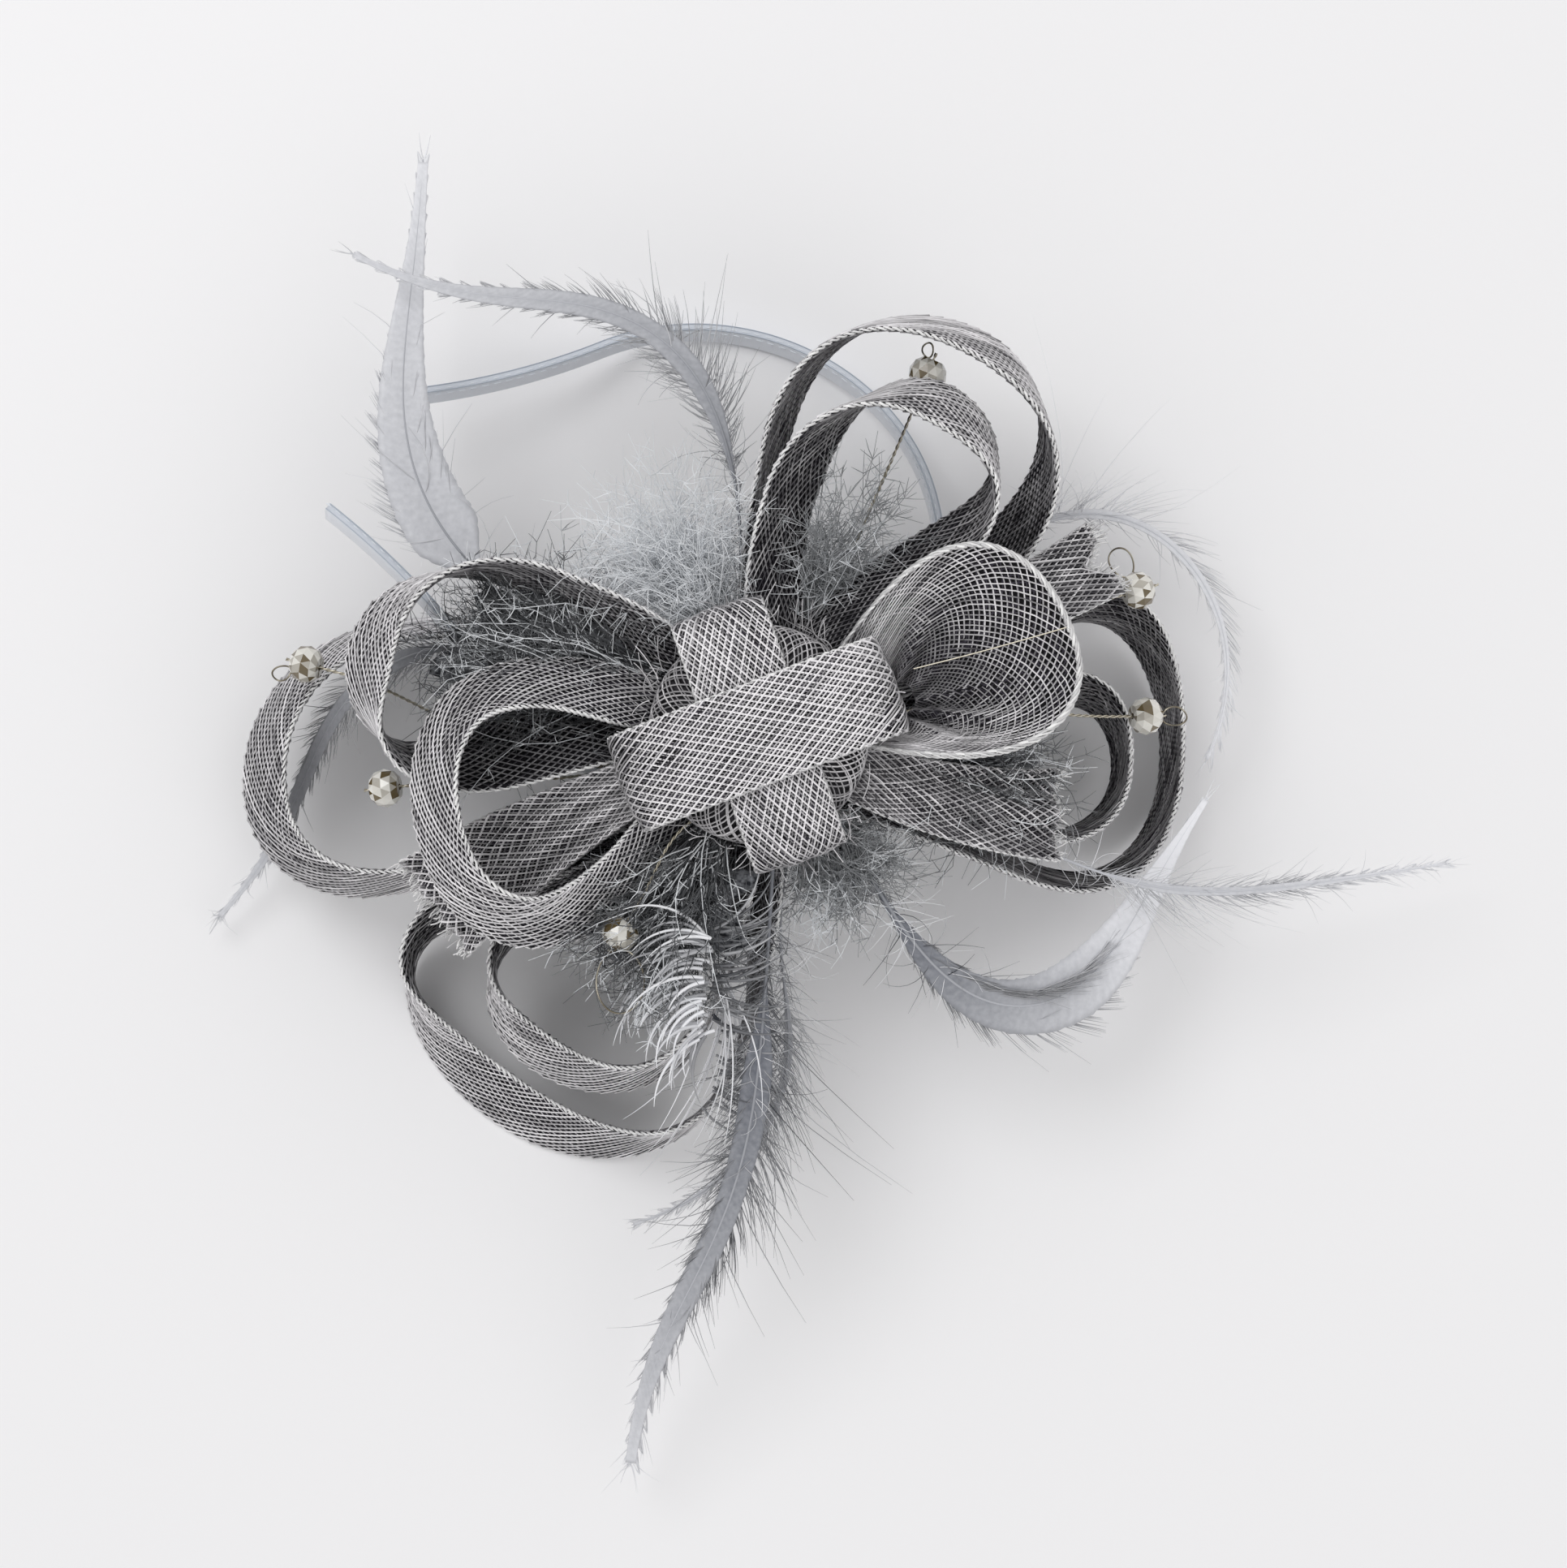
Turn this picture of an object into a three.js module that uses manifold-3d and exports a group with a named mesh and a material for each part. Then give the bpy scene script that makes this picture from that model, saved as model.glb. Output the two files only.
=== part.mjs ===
// A silver-grey fascinator lying face up: loops and tails of open net ribbon gathered on a core
// that sits on a slim satin headband, with feathers, down tufts and crystal beads on fine wires.
// Millimetres and degrees, +Z up. The surface that it lies on is z = 0.
import * as THREE from "three";
import { mergeVertices } from "three/addons/utils/BufferGeometryUtils.js";
import Module from "manifold-3d";

const wasm = await Module();
wasm.setup();

// Clearance between two pieces that touch on the real thing.
const GAP = 0.3;

// Slim satin headband: one flat horseshoe, flatter over the crown, closing at the sides and
// opening again at its two tips. Its plane leans, so that one leg lies low and one stands high.
const HEADBAND = {
  crownRadius: 62,
  crownHalfTurn: 28,
  sideRadius: 50,
  sideTurn: 104,
  lowTip: 43,
  highTip: 54,
  tipFlare: 17,
  width: 5,
  thickness: 2,
  easedEdge: 0.45,
  lean: 24.8,
  axisTurn: -15,
  steps: 50,
};

// The core is the stitched stack of ribbon ends. Its middle is the cluster's own origin, and it
// sits on the high leg where that leg has turned by seatTurn from the crown.
const CORE = {
  radius: 22,
  below: 15,
  shoulder: 4,
  dome: 10,
  sides: 28,
  seatTurn: 60,
  seatAside: 10.5,
  seatDepth: 14,
};

// Net ribbon, as bought: one width, and as thick as its two layers with their bound edges.
const RIBBON = { width: 20, thickness: 1.2, rootWidth: 9 };

// The two short wraps that cross over the core.
const WRAP = { overhang: 2.8, tuck: 9.5, crown: 0.9, steps: 14 };
const WRAPS = [
  { name: "wrap_cross", turn: 109, layer: 0, width: 19 },
  { name: "wrap_top", turn: 21, layer: 1, width: 20 },
];

// One row for each ribbon loop. Directions are degrees counterclockwise from +X, seen from above.
// The loop leaves the core at fromTurn and comes back at toTurn. reach is its length from the
// core's middle, out and back are how far its two sides stand off its middle line, and outBelly
// and backBelly say how near the tip they are widest. Heights are measured from the core's middle;
// outArch and backArch raise the two sides midway.
// lean turns the ribbon about its own path at the start, quarter, tip, three quarters and end:
// 0 stands on edge, under 0 shows the outer face to above and over 0 the inner face.
const LOOPS = [
  { name: "loop_upper_left", heading: 168, reach: 81, out: 19, back: 19, outBelly: 1, backBelly: 2.4,
    fromTurn: 134, toTurn: 178, fromZ: -5.5, toZ: -5.2, tipZ: -4.5, outArch: 2, backArch: 1,
    lean: [65, 16, -34, 48, 70] },
  { name: "loop_mid_left", heading: 203, reach: 66, out: 26, back: 17, outBelly: 1, backBelly: 1.2,
    fromTurn: 162, toTurn: 231, fromZ: -2, toZ: -4.1, tipZ: 16, outArch: 0, backArch: -7,
    lean: [-70, -30, -32, -34, -78] },
  { name: "loop_far_left", heading: 187, reach: 106, out: 31, back: 19, outBelly: 1, backBelly: 2.4,
    fromTurn: 156, toTurn: 246, fromZ: -13, toZ: -7.7, tipZ: -32, outArch: -18, backArch: -5,
    lean: [-70, -12, -34, -8, 70] },
  { name: "loop_low_left_outer", heading: 235, reach: 97, out: 35, back: 33, outBelly: 2.2, backBelly: 1.2,
    fromTurn: 231, toTurn: 275, fromZ: -14, toZ: -8, tipZ: -52.2, outArch: -3, backArch: -3,
    lean: [30, 30, -38, 4, 65] },
  { name: "loop_low_left_inner", heading: 235, reach: 82, out: 20, back: 22, outBelly: 2, backBelly: 1.2,
    fromTurn: 247, toTurn: 262, fromZ: -10.3, toZ: -12.8, tipZ: -34, outArch: -4, backArch: 3,
    lean: [30, 24, -28, -6, 60] },
  { name: "loop_top_outer", heading: 60, reach: 92, out: 25, back: 27, outBelly: 1.3, backBelly: 1.3,
    fromTurn: 48, toTurn: 92, fromZ: -12.5, toZ: -9, tipZ: -8, outArch: -8, backArch: -3,
    lean: [60, 32, -22, 12, 65] },
  { name: "loop_top_inner", heading: 61, reach: 76, out: 18, back: 17, outBelly: 2.6, backBelly: 1,
    fromTurn: 58, toTurn: 81, fromZ: -7, toZ: -3, tipZ: 4, outArch: -3, backArch: -3,
    lean: [65, 35, -30, 28, 70] },
  { name: "loop_right_outer", heading: -5, reach: 90, out: 23, back: 33, outBelly: 2, backBelly: 1.5,
    fromTurn: -44, toTurn: 16, fromZ: -12, toZ: -8, tipZ: -50.5, outArch: 0, backArch: 5,
    lean: [60, 10, 6, 24, 65] },
  { name: "loop_right_inner", heading: -6, reach: 78, out: 13, back: 17, outBelly: 2, backBelly: 2.2,
    fromTurn: -31, toTurn: -11, fromZ: -8, toZ: -13.4, tipZ: -39, outArch: 0, backArch: 0,
    lean: [60, 5, 4, 28, 65] },
];
// How far inside the core's side a ribbon's path starts before its root is cut back to the side.
const ROOT_DEPTH = 5;
const LOOP = { steps: 24, pinch: 0.24, camber: 0.35 };

// The cup of net whose mouth faces up: its rim runs like a loop and its wall closes on the core.
const CUP = {
  name: "net_cup", heading: 15, reach: 66, out: 15, back: 24, outBelly: 1, backBelly: 1,
  fromTurn: -6, toTurn: 44, fromZ: -1.5, toZ: -1.6, tipZ: 10, outArch: 5, backArch: 5,
  apexReach: 26, apexTurn: 12, apexZ: 0, closing: 0.84, sag: 3, steps: 24, spans: 3,
};

// Net tails. folds is how many lengthwise pleats they hold, foldDepth how deep, and notch the
// depth of the V cut in the end. droop is the fall of the far end.
const TAILS = [
  { name: "tail_pleated", turn: 201.5, heading: 203, bend: 14, length: 54, rootZ: 1.7, droop: 10,
    startWidth: 8, endWidth: 24, folds: 3, foldDepth: 3.5, tilt: 4, notch: 0 },
  { name: "tail_notched", turn: 20, heading: 29, bend: 0, length: 58, rootZ: -3.6, droop: 4,
    startWidth: 8, endWidth: 16, folds: 1, foldDepth: 1, tilt: 0, notch: 5 },
  { name: "tail_under", turn: -20, heading: -24, bend: 22, length: 42, rootZ: 1, droop: 11,
    startWidth: 11, endWidth: 19, folds: 2, foldDepth: 3, tilt: -6, notch: 0 },
];
const TAIL = { steps: 12, sag: 1 };

// One row for each feather. It leaves the core at turn and z, its bare quill runs for quill and
// its vane for vane. headings are its directions at the start, both thirds and the end of the
// whole length, pitches its slope at the start, middle and end. width is the vane's widest, at
// share widest of the vane, and tip its width at the end as a share of that. strips are the
// separated barb locks on each side, stripLength their length as a share of the width.
const FEATHERS = [
  { name: "feather_blade_up", turn: 153, z: -14, quill: 42, vane: 98, headings: [158, 134, 88, 87],
    pitches: [-3, -5, -8], width: 17, widest: 0.16, tip: 0.14, roll: 12, strips: 0, stripLength: 0 },
  { name: "feather_sweep_up", turn: 102, z: -12, quill: 24, vane: 110, headings: [84, 112, 174, 152],
    pitches: [2, -2, -4], width: 12, widest: 0.3, tip: 0.12, roll: 8, strips: 4, stripLength: 1.1 },
  { name: "feather_arch_right", turn: 36, z: -14, quill: 42, vane: 98, headings: [40, 34, -50, -114],
    pitches: [-28, -8, -6], width: 10, widest: 0.3, tip: 0.2, roll: -10, strips: 3, stripLength: 1.2 },
  { name: "feather_hook_low", turn: -46, z: -6, quill: 10, vane: 116, headings: [-62, -42, 50, 56],
    pitches: [-14, -16, -6], width: 12, widest: 0.55, tip: 0.1, roll: 10, strips: 2, stripLength: 1.4 },
  { name: "feather_point_right", turn: -36, z: -5, quill: 50, vane: 88, headings: [-6, -22, 4, 8],
    pitches: [-12, -14, -14], width: 8, widest: 0.25, tip: 0.15, roll: 0, strips: 3, stripLength: 1 },
  { name: "feather_plume_down", turn: 278, z: -4, quill: 24, vane: 124, headings: [-93, -97, -116, -98],
    pitches: [-5, -16, -26], width: 13, widest: 0.22, tip: 0.2, roll: 0, strips: 6, stripLength: 1.5 },
  { name: "feather_spray_down", turn: 288, z: -12, quill: 22, vane: 82, headings: [-104, -84, -128, -160],
    pitches: [-6, -14, -24], width: 8, widest: 0.3, tip: 0.2, roll: 14, strips: 3, stripLength: 1.3 },
  { name: "feather_left_down", turn: 173, z: -11, quill: 42, vane: 98, headings: [140, 184, 242, 226],
    pitches: [4, -30, -12], width: 9, widest: 0.2, tip: 0.15, roll: 0, strips: 3, stripLength: 1.2 },
];
const FEATHER = { quillWidth: 1, thickness: 1.1, steps: 16, stripWidth: 1.8, stripSlant: 38 };

// One row for each tuft of down: a fan of tapered locks from a small head on the core.
const TUFTS = [
  { name: "tuft_upper_left", turn: 156, heading: 167, z: -6.8, reach: 50, spread: 11, rise: -4, locks: 9 },
  { name: "tuft_sparse_left", turn: 142, heading: 144, z: -12.5, reach: 46, spread: 11, rise: -14, locks: 6 },
  { name: "tuft_white_up", turn: 112, heading: 120, z: -5, reach: 42, spread: 24, rise: 2, locks: 9 },
  { name: "tuft_top", turn: 71, heading: 64, z: -13.5, reach: 42, spread: 12, rise: 6, locks: 9 },
  { name: "tuft_right", turn: -12, heading: -10, z: -8, reach: 46, spread: 9, rise: -16, locks: 9 },
  { name: "tuft_low_right", turn: -58, heading: -54, z: -8, reach: 22, spread: 30, rise: -8, locks: 8 },
  { name: "tuft_low_left", turn: 246, heading: 238, z: 0, reach: 44, spread: 14, rise: -12, locks: 9 },
];
const TUFT = {
  head: 4, lockWidth: 2.8, lockThickness: 1.2, tiers: [-0.09, 0, 0.09], lengths: [1, 0.78, 0.9],
};

// Faceted crystal beads, drilled for the wire, and where each one stands.
const BEAD = { diameter: 8, length: 6, table: 4.6, girdle: 1.8, sides: 12 };
const WIRE = { diameter: 0.8, sides: 5, steps: 11, lead: 4, tail: 1.6, holeGap: 0.3 };
const BEADS = [
  { name: "left_far", turn: 171, reach: 96, z: -21, rootTurn: 190, rootZ: -7, bow: -6 },
  { name: "left_near", turn: 188, reach: 78, z: -13, rootTurn: 193, rootZ: -4.5, bow: -2 },
  { name: "low_left", turn: 235, reach: 49, z: -1, rootTurn: 232, rootZ: 2.5, bow: 2 },
  { name: "top", turn: 65, reach: 82, z: -10, rootTurn: 58, rootZ: -14.4, bow: -4 },
  { name: "right_upper", turn: 21, reach: 84, z: -15, rootTurn: 34, rootZ: -5.6, bow: -3 },
  { name: "right", turn: 3, reach: 81, z: -22, rootTurn: 8, rootZ: -3, bow: -3 },
];

const FINISHES = {
  satin: { color: 0xc6ced9, roughness: 0.45, metalness: 0 },
  net: { color: 0xa9a8ae, roughness: 0.55, metalness: 0.15 },
  netLight: { color: 0xbcbbc1, roughness: 0.5, metalness: 0.15 },
  vane: { color: 0xb4bac6, roughness: 0.7, metalness: 0 },
  down: { color: 0x9aa0ac, roughness: 0.9, metalness: 0 },
  crystal: { color: 0xe6dfcf, roughness: 0.05, metalness: 0 },
  wire: { color: 0xaaa79f, roughness: 0.35, metalness: 0.9 },
};

const UP = new THREE.Vector3(0, 0, 1);
const rad = THREE.MathUtils.degToRad;
const lerp = THREE.MathUtils.lerp;
const smooth = THREE.MathUtils.smoothstep;

// The point at a direction, a distance from the core's axis and a height.
function polar(turn, distance, z) {
  return new THREE.Vector3(distance * Math.cos(rad(turn)), distance * Math.sin(rad(turn)), z);
}

// The level unit vector at a direction, and the one a quarter turn on from it.
const along = (turn) => polar(turn, 1, 0);
const across = (turn) => polar(turn + 90, 1, 0);

// A value read from evenly spaced stations, eased from one to the next.
function atStations(values, share) {
  const place = THREE.MathUtils.clamp(share, 0, 1) * (values.length - 1);
  const first = Math.min(Math.floor(place), values.length - 2);
  return lerp(values[first], values[first + 1], smooth(place - first, 0, 1));
}

// A closed solid through rings of equal point count, with a fan over each end.
function loft(rings) {
  const count = rings[0].length;
  const positions = rings.flat().flatMap((p) => [p.x, p.y, p.z]);
  const faces = [];
  for (let ring = 0; ring + 1 < rings.length; ring += 1) {
    for (let side = 0; side < count; side += 1) {
      const next = (side + 1) % count;
      const a = ring * count + side;
      const b = ring * count + next;
      faces.push(a, b, b + count, a, b + count, a + count);
    }
  }
  const last = (rings.length - 1) * count;
  for (let side = 1; side + 1 < count; side += 1) {
    faces.push(0, side + 1, side);
    faces.push(last, last + side, last + side + 1);
  }
  const geometry = new THREE.BufferGeometry();
  geometry.setAttribute("position", new THREE.Float32BufferAttribute(positions, 3));
  geometry.setIndex(faces);
  return geometry;
}

// Turns a closed geometry into a solid whose faces point out.
function solidOf(geometry) {
  const bare = geometry.clone();
  bare.deleteAttribute("normal");
  bare.deleteAttribute("uv");
  const merged = mergeVertices(bare, 1e-4);
  const corners = merged.attributes.position;
  const index = merged.index.array;
  const [a, b, c] = [new THREE.Vector3(), new THREE.Vector3(), new THREE.Vector3()];
  let volume = 0;
  for (let i = 0; i < index.length; i += 3) {
    a.fromBufferAttribute(corners, index[i]);
    b.fromBufferAttribute(corners, index[i + 1]);
    c.fromBufferAttribute(corners, index[i + 2]);
    volume += a.dot(b.cross(c));
  }
  const triVerts = new Uint32Array(index);
  if (volume < 0) {
    for (let i = 0; i < triVerts.length; i += 3) {
      [triVerts[i + 1], triVerts[i + 2]] = [triVerts[i + 2], triVerts[i + 1]];
    }
  }
  const vertProperties = new Float32Array(corners.array);
  return new wasm.Manifold(new wasm.Mesh({ numProp: 3, vertProperties, triVerts }));
}

// Turns a solid back into flat-shaded geometry.
function geometryOf(solid) {
  const { vertProperties, triVerts } = solid.getMesh();
  const indexed = new THREE.BufferGeometry();
  indexed.setAttribute("position", new THREE.BufferAttribute(vertProperties, 3));
  indexed.setIndex(new THREE.BufferAttribute(triVerts, 1));
  const flat = indexed.toNonIndexed();
  flat.computeVertexNormals();
  return flat;
}

// A named piece with its own material, from a solid.
function piece(name, solid, finish) {
  const material = new THREE.MeshStandardMaterial({ ...FINISHES[finish], flatShading: true });
  const mesh = new THREE.Mesh(geometryOf(solid), material);
  mesh.name = name;
  return mesh;
}

// Shares along a path that leave equal lengths between them.
function evenShares(path, steps) {
  const fine = 400;
  const lengths = [0];
  let before = path(0);
  for (let i = 1; i <= fine; i += 1) {
    const here = path(i / fine);
    lengths.push(lengths[i - 1] + here.distanceTo(before));
    before = here;
  }
  const shares = [];
  for (let step = 0, i = 0; step <= steps; step += 1) {
    const wanted = (lengths[fine] * step) / steps;
    while (i < fine - 1 && lengths[i + 1] < wanted) i += 1;
    const part = (wanted - lengths[i]) / Math.max(lengths[i + 1] - lengths[i], 1e-9);
    shares.push(Math.min((i + part) / fine, 1));
  }
  return shares;
}

// The unit direction of a path at a share of it.
function direction(path, share) {
  const reach = 0.004;
  const ahead = path(Math.min(share + reach, 1));
  return ahead.sub(path(Math.max(share - reach, 0))).normalize();
}

// The three axes of a strip at a share of its path: along it, across its width and through it.
function stripAxes(path, share, lean) {
  const tangent = direction(path, share);
  const upright = UP.clone().addScaledVector(tangent, -UP.dot(tangent)).normalize();
  const outward = tangent.clone().cross(upright).normalize();
  const width = upright.multiplyScalar(Math.cos(rad(lean)));
  width.addScaledVector(outward, Math.sin(rad(lean))).normalize();
  return { tangent, width, through: tangent.clone().cross(width).normalize() };
}

// The outline of a strip's section: out along one face and back along the other.
function stripRing(centre, axes, offsets, thickness) {
  const point = ([w, t], side) =>
    centre
      .clone()
      .addScaledVector(axes.width, w)
      .addScaledVector(axes.through, t + (side * thickness) / 2);
  const front = offsets.map((offset) => point(offset, 1));
  const back = offsets.map((offset) => point(offset, -1)).reverse();
  return [...front, ...back];
}

// Half of the headband's centre line in its own plane, from the crown to one tip.
function headbandHalf(tipLength) {
  const { crownRadius, crownHalfTurn, sideRadius, sideTurn, tipFlare, steps } = HEADBAND;
  const arcs = [
    { length: crownRadius * rad(crownHalfTurn), turn: rad(crownHalfTurn) },
    { length: sideRadius * rad(sideTurn), turn: rad(sideTurn) },
    { length: tipLength, turn: -rad(tipFlare) },
  ];
  const total = arcs.reduce((sum, arc) => sum + arc.length, 0);
  const points = [{ x: crownRadius, y: 0, turned: 0 }];
  arcs.forEach(({ length, turn }) => {
    const count = Math.max(3, Math.round((length / total) * (steps / 2)));
    for (let i = 0; i < count; i += 1) {
      const from = points[points.length - 1];
      const heading = Math.PI / 2 + from.turned + turn / count / 2;
      points.push({
        x: from.x + (Math.cos(heading) * length) / count,
        y: from.y + (Math.sin(heading) * length) / count,
        turned: from.turned + turn / count,
      });
    }
  });
  return points;
}

// The point where half of the headband's centre line has turned by a number of degrees.
function turnedPoint(points, turn) {
  const next = points.findIndex(({ turned }) => turned >= rad(turn));
  const [a, b] = [points[next - 1], points[next]];
  const part = (rad(turn) - a.turned) / (b.turned - a.turned);
  return { x: lerp(a.x, b.x, part), y: lerp(a.y, b.y, part) };
}

// The headband's centre line and plane in the cluster's frame, set so that the core's seat on
// the high leg lies where CORE says.
function headbandFrame() {
  const low = headbandHalf(HEADBAND.lowTip);
  const high = headbandHalf(HEADBAND.highTip);
  const tilted = new THREE.Matrix4()
    .makeRotationZ(rad(HEADBAND.axisTurn))
    .multiply(new THREE.Matrix4().makeRotationX(-rad(HEADBAND.lean)));
  const onLow = ({ x, y }) => new THREE.Vector3(x, y, 0).applyMatrix4(tilted);
  const onHigh = ({ x, y }) => onLow({ x, y: -y });
  const seat = onHigh(turnedPoint(high, CORE.seatTurn));
  const shift = new THREE.Vector3(0, -CORE.seatAside, -CORE.seatDepth).sub(seat);
  const points = [...low.slice().reverse().map(onLow), ...high.slice(1).map(onHigh)];
  const normal = new THREE.Vector3(0, 0, 1).transformDirection(tilted);
  return { centreLine: points.map((point) => point.add(shift)), normal };
}

// The headband, or the same sweep with a margin all round, to cut its seat in the core.
function headbandSolid(margin) {
  const { centreLine, normal } = headbandFrame();
  const halfWidth = HEADBAND.width / 2 + margin;
  const halfThick = HEADBAND.thickness / 2 + margin;
  const eased = HEADBAND.easedEdge;
  const outline = [
    [halfThick, halfWidth - eased], [halfThick - eased, halfWidth],
    [eased - halfThick, halfWidth], [-halfThick, halfWidth - eased],
    [-halfThick, eased - halfWidth], [eased - halfThick, -halfWidth],
    [halfThick - eased, -halfWidth], [halfThick, eased - halfWidth],
  ];
  const rings = centreLine.map((point, i) => {
    const before = centreLine[Math.max(i - 1, 0)];
    const after = centreLine[Math.min(i + 1, centreLine.length - 1)];
    const outward = after.clone().sub(before).normalize().cross(normal).normalize();
    return outline.map(([t, w]) =>
      point.clone().addScaledVector(outward, t).addScaledVector(normal, w),
    );
  });
  return solidOf(loft(rings));
}

// A dome's height over the core at a distance from its axis.
function domeHeight(distance, radius, shoulder, dome) {
  const share = Math.min(distance / radius, 1);
  return shoulder + (dome - shoulder) * Math.sqrt(1 - share * share);
}

// The core's turned drum with its domed top, or the same with a margin, to cut a seat on it.
function drumSolid(margin) {
  const { below, shoulder, dome, sides } = CORE;
  const radius = CORE.radius + margin;
  const profile = [new THREE.Vector2(0, -below - margin), new THREE.Vector2(radius, -below - margin)];
  [1, 0.94, 0.75, 0.45].forEach((share) => {
    const height = domeHeight(radius * share, radius, shoulder, dome) + margin;
    profile.push(new THREE.Vector2(radius * share, height));
  });
  profile.push(new THREE.Vector2(0, dome + margin));
  return solidOf(new THREE.LatheGeometry(profile, sides).rotateX(Math.PI / 2));
}

// The core, with its seat cut for the headband.
const coreSolid = () => drumSolid(0).subtract(headbandSolid(GAP));

// A piece whose root is cut back to lie on the core's side.
function seated(solid) {
  const radius = CORE.radius + GAP;
  const height = 4 * CORE.radius;
  const cutter = new THREE.CylinderGeometry(radius, radius, height, CORE.sides).rotateX(Math.PI / 2);
  const bodies = solid.subtract(solidOf(cutter)).decompose();
  return bodies.reduce((largest, body) => (body.volume() > largest.volume() ? body : largest));
}

// A short wrap that lies over the dome and tucks down at both of its ends.
function wrapSolid({ turn, layer, width }) {
  const lift = GAP + RIBBON.thickness / 2 + layer * (RIBBON.thickness + GAP + WRAP.crown);
  const halfSpan = CORE.radius + WRAP.overhang + lift;
  const path = (share) => {
    const angle = Math.PI * (1 - share);
    const flat = Math.sign(Math.cos(angle)) * Math.abs(Math.cos(angle)) ** 0.8;
    const fall = WRAP.tuck * (1 - Math.sin(angle) ** 0.62);
    return along(turn).multiplyScalar(halfSpan * flat).setZ(CORE.dome + lift - fall);
  };
  const half = width / 2;
  const rings = evenShares(path, WRAP.steps).map((share) => {
    const through = direction(path, share).cross(across(turn)).normalize();
    const offsets = [[-half, 0], [0, WRAP.crown], [half, 0]];
    return stripRing(path(share), { width: across(turn), through }, offsets, RIBBON.thickness);
  });
  return solidOf(loft(rings));
}

// How far along a loop has gone: 0 at the core, 1 at the tip and 0 again at the core.
const outAndBack = (share) => Math.sin(Math.PI * share) ** 2;

// How wide a loop stands at a share of its path, 1 at its widest.
function belly(share, power) {
  const raw = (t) => Math.abs(Math.sin(2 * Math.PI * t)) * Math.sin(Math.PI * t) ** power;
  const peak = Math.acos(Math.sqrt(1 / (2 + power + 1))) / Math.PI;
  return raw(share) / raw(peak);
}

// The centre path of a loop, from its first root on the core to its second.
function loopPath(row) {
  const start = CORE.radius - ROOT_DEPTH;
  const from = polar(row.fromTurn, start, 0);
  const to = polar(row.toTurn, start, 0);
  return (share) => {
    const far = outAndBack(share);
    const aside =
      share < 0.5 ? -row.out * belly(share, row.outBelly) : row.back * belly(share, row.backBelly);
    const point = from.clone().lerp(to, share).multiplyScalar(1 - far);
    point.addScaledVector(along(row.heading), row.reach * far);
    point.addScaledVector(across(row.heading), aside);
    point.z = lerp(row.fromZ, row.toZ, share) * (1 - far) + row.tipZ * far;
    point.z += (share < 0.5 ? row.outArch : row.backArch) * 4 * far * (1 - far);
    return point;
  };
}

// A ribbon loop: the ribbon is gathered narrow at both roots and full between them.
function loopSolid(row) {
  const path = loopPath(row);
  const rings = evenShares(path, LOOP.steps).map((share) => {
    const fullness = smooth(Math.min(share, 1 - share), 0, LOOP.pinch);
    const half = lerp(RIBBON.rootWidth, RIBBON.width, fullness) / 2;
    const axes = stripAxes(path, share, atStations(row.lean, share));
    const offsets = [[-half, 0], [0, LOOP.camber], [half, 0]];
    return stripRing(path(share), axes, offsets, RIBBON.thickness);
  });
  return seated(solidOf(loft(rings)));
}

// The net cup: from each point of the rim the wall closes towards the apex near the core.
function cupSolid() {
  const rim = loopPath(CUP);
  const apex = polar(CUP.apexTurn, CUP.apexReach, CUP.apexZ);
  const wall = (share, depth) => {
    const point = rim(share).lerp(apex, depth * CUP.closing);
    point.z -= CUP.sag * Math.sin(Math.PI * depth) * outAndBack(share);
    return point;
  };
  const depths = Array.from({ length: CUP.spans + 1 }, (_, i) => i / CUP.spans);
  const rings = evenShares(rim, CUP.steps).map((share) => {
    const tangent = direction(rim, share);
    const face = depths.map((depth) => {
      const ahead = wall(share, Math.min(depth + 0.02, 1));
      const inward = ahead.sub(wall(share, Math.max(depth - 0.02, 0))).normalize();
      const through = tangent.clone().cross(inward).normalize().multiplyScalar(RIBBON.thickness / 2);
      return { centre: wall(share, depth), through };
    });
    const front = face.map(({ centre, through }) => centre.clone().add(through));
    const back = face.map(({ centre, through }) => centre.clone().sub(through)).reverse();
    return [...front, ...back];
  });
  return seated(solidOf(loft(rings)));
}

// The centre path of a tail, which bends evenly from the core to its cut end.
function tailPath(row) {
  const start = polar(row.turn, CORE.radius - ROOT_DEPTH, row.rootZ);
  return (share) => {
    const mean = row.heading + (row.bend * share) / 2;
    const point = start.clone().addScaledVector(along(mean), (row.length + ROOT_DEPTH) * share);
    point.z -= row.droop * share * share + TAIL.sag * Math.sin(Math.PI * share);
    return point;
  };
}

// A net tail, with its lengthwise pleats and the notch in its end.
function tailSolid(row) {
  const path = tailPath(row);
  const spans = row.folds * 2;
  const rings = evenShares(path, TAIL.steps).map((share) => {
    const half = lerp(row.startWidth, row.endWidth, share) / 2;
    const axes = stripAxes(path, share, 90 + row.tilt);
    const offsets = Array.from({ length: spans + 1 }, (_, i) => [
      lerp(-half, half, i / spans),
      (i % 2) * row.foldDepth * smooth(share, -0.2, 0.5),
    ]);
    return stripRing(path(share), axes, offsets, RIBBON.thickness);
  });
  const tail = seated(solidOf(loft(rings)));
  if (row.notch === 0) return tail;
  const end = path(1);
  const axes = stripAxes(path, 1, 90 + row.tilt);
  const wedge = [-1, 1].map((side) =>
    [[-row.notch, 0], [row.notch, -row.endWidth / 2], [row.notch, row.endWidth / 2]].map(([t, w]) =>
      end
        .clone()
        .addScaledVector(axes.tangent, t)
        .addScaledVector(axes.width, w)
        .addScaledVector(axes.through, side * (row.foldDepth + RIBBON.thickness * 2)),
    ),
  );
  return tail.subtract(solidOf(loft(wedge)));
}

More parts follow.
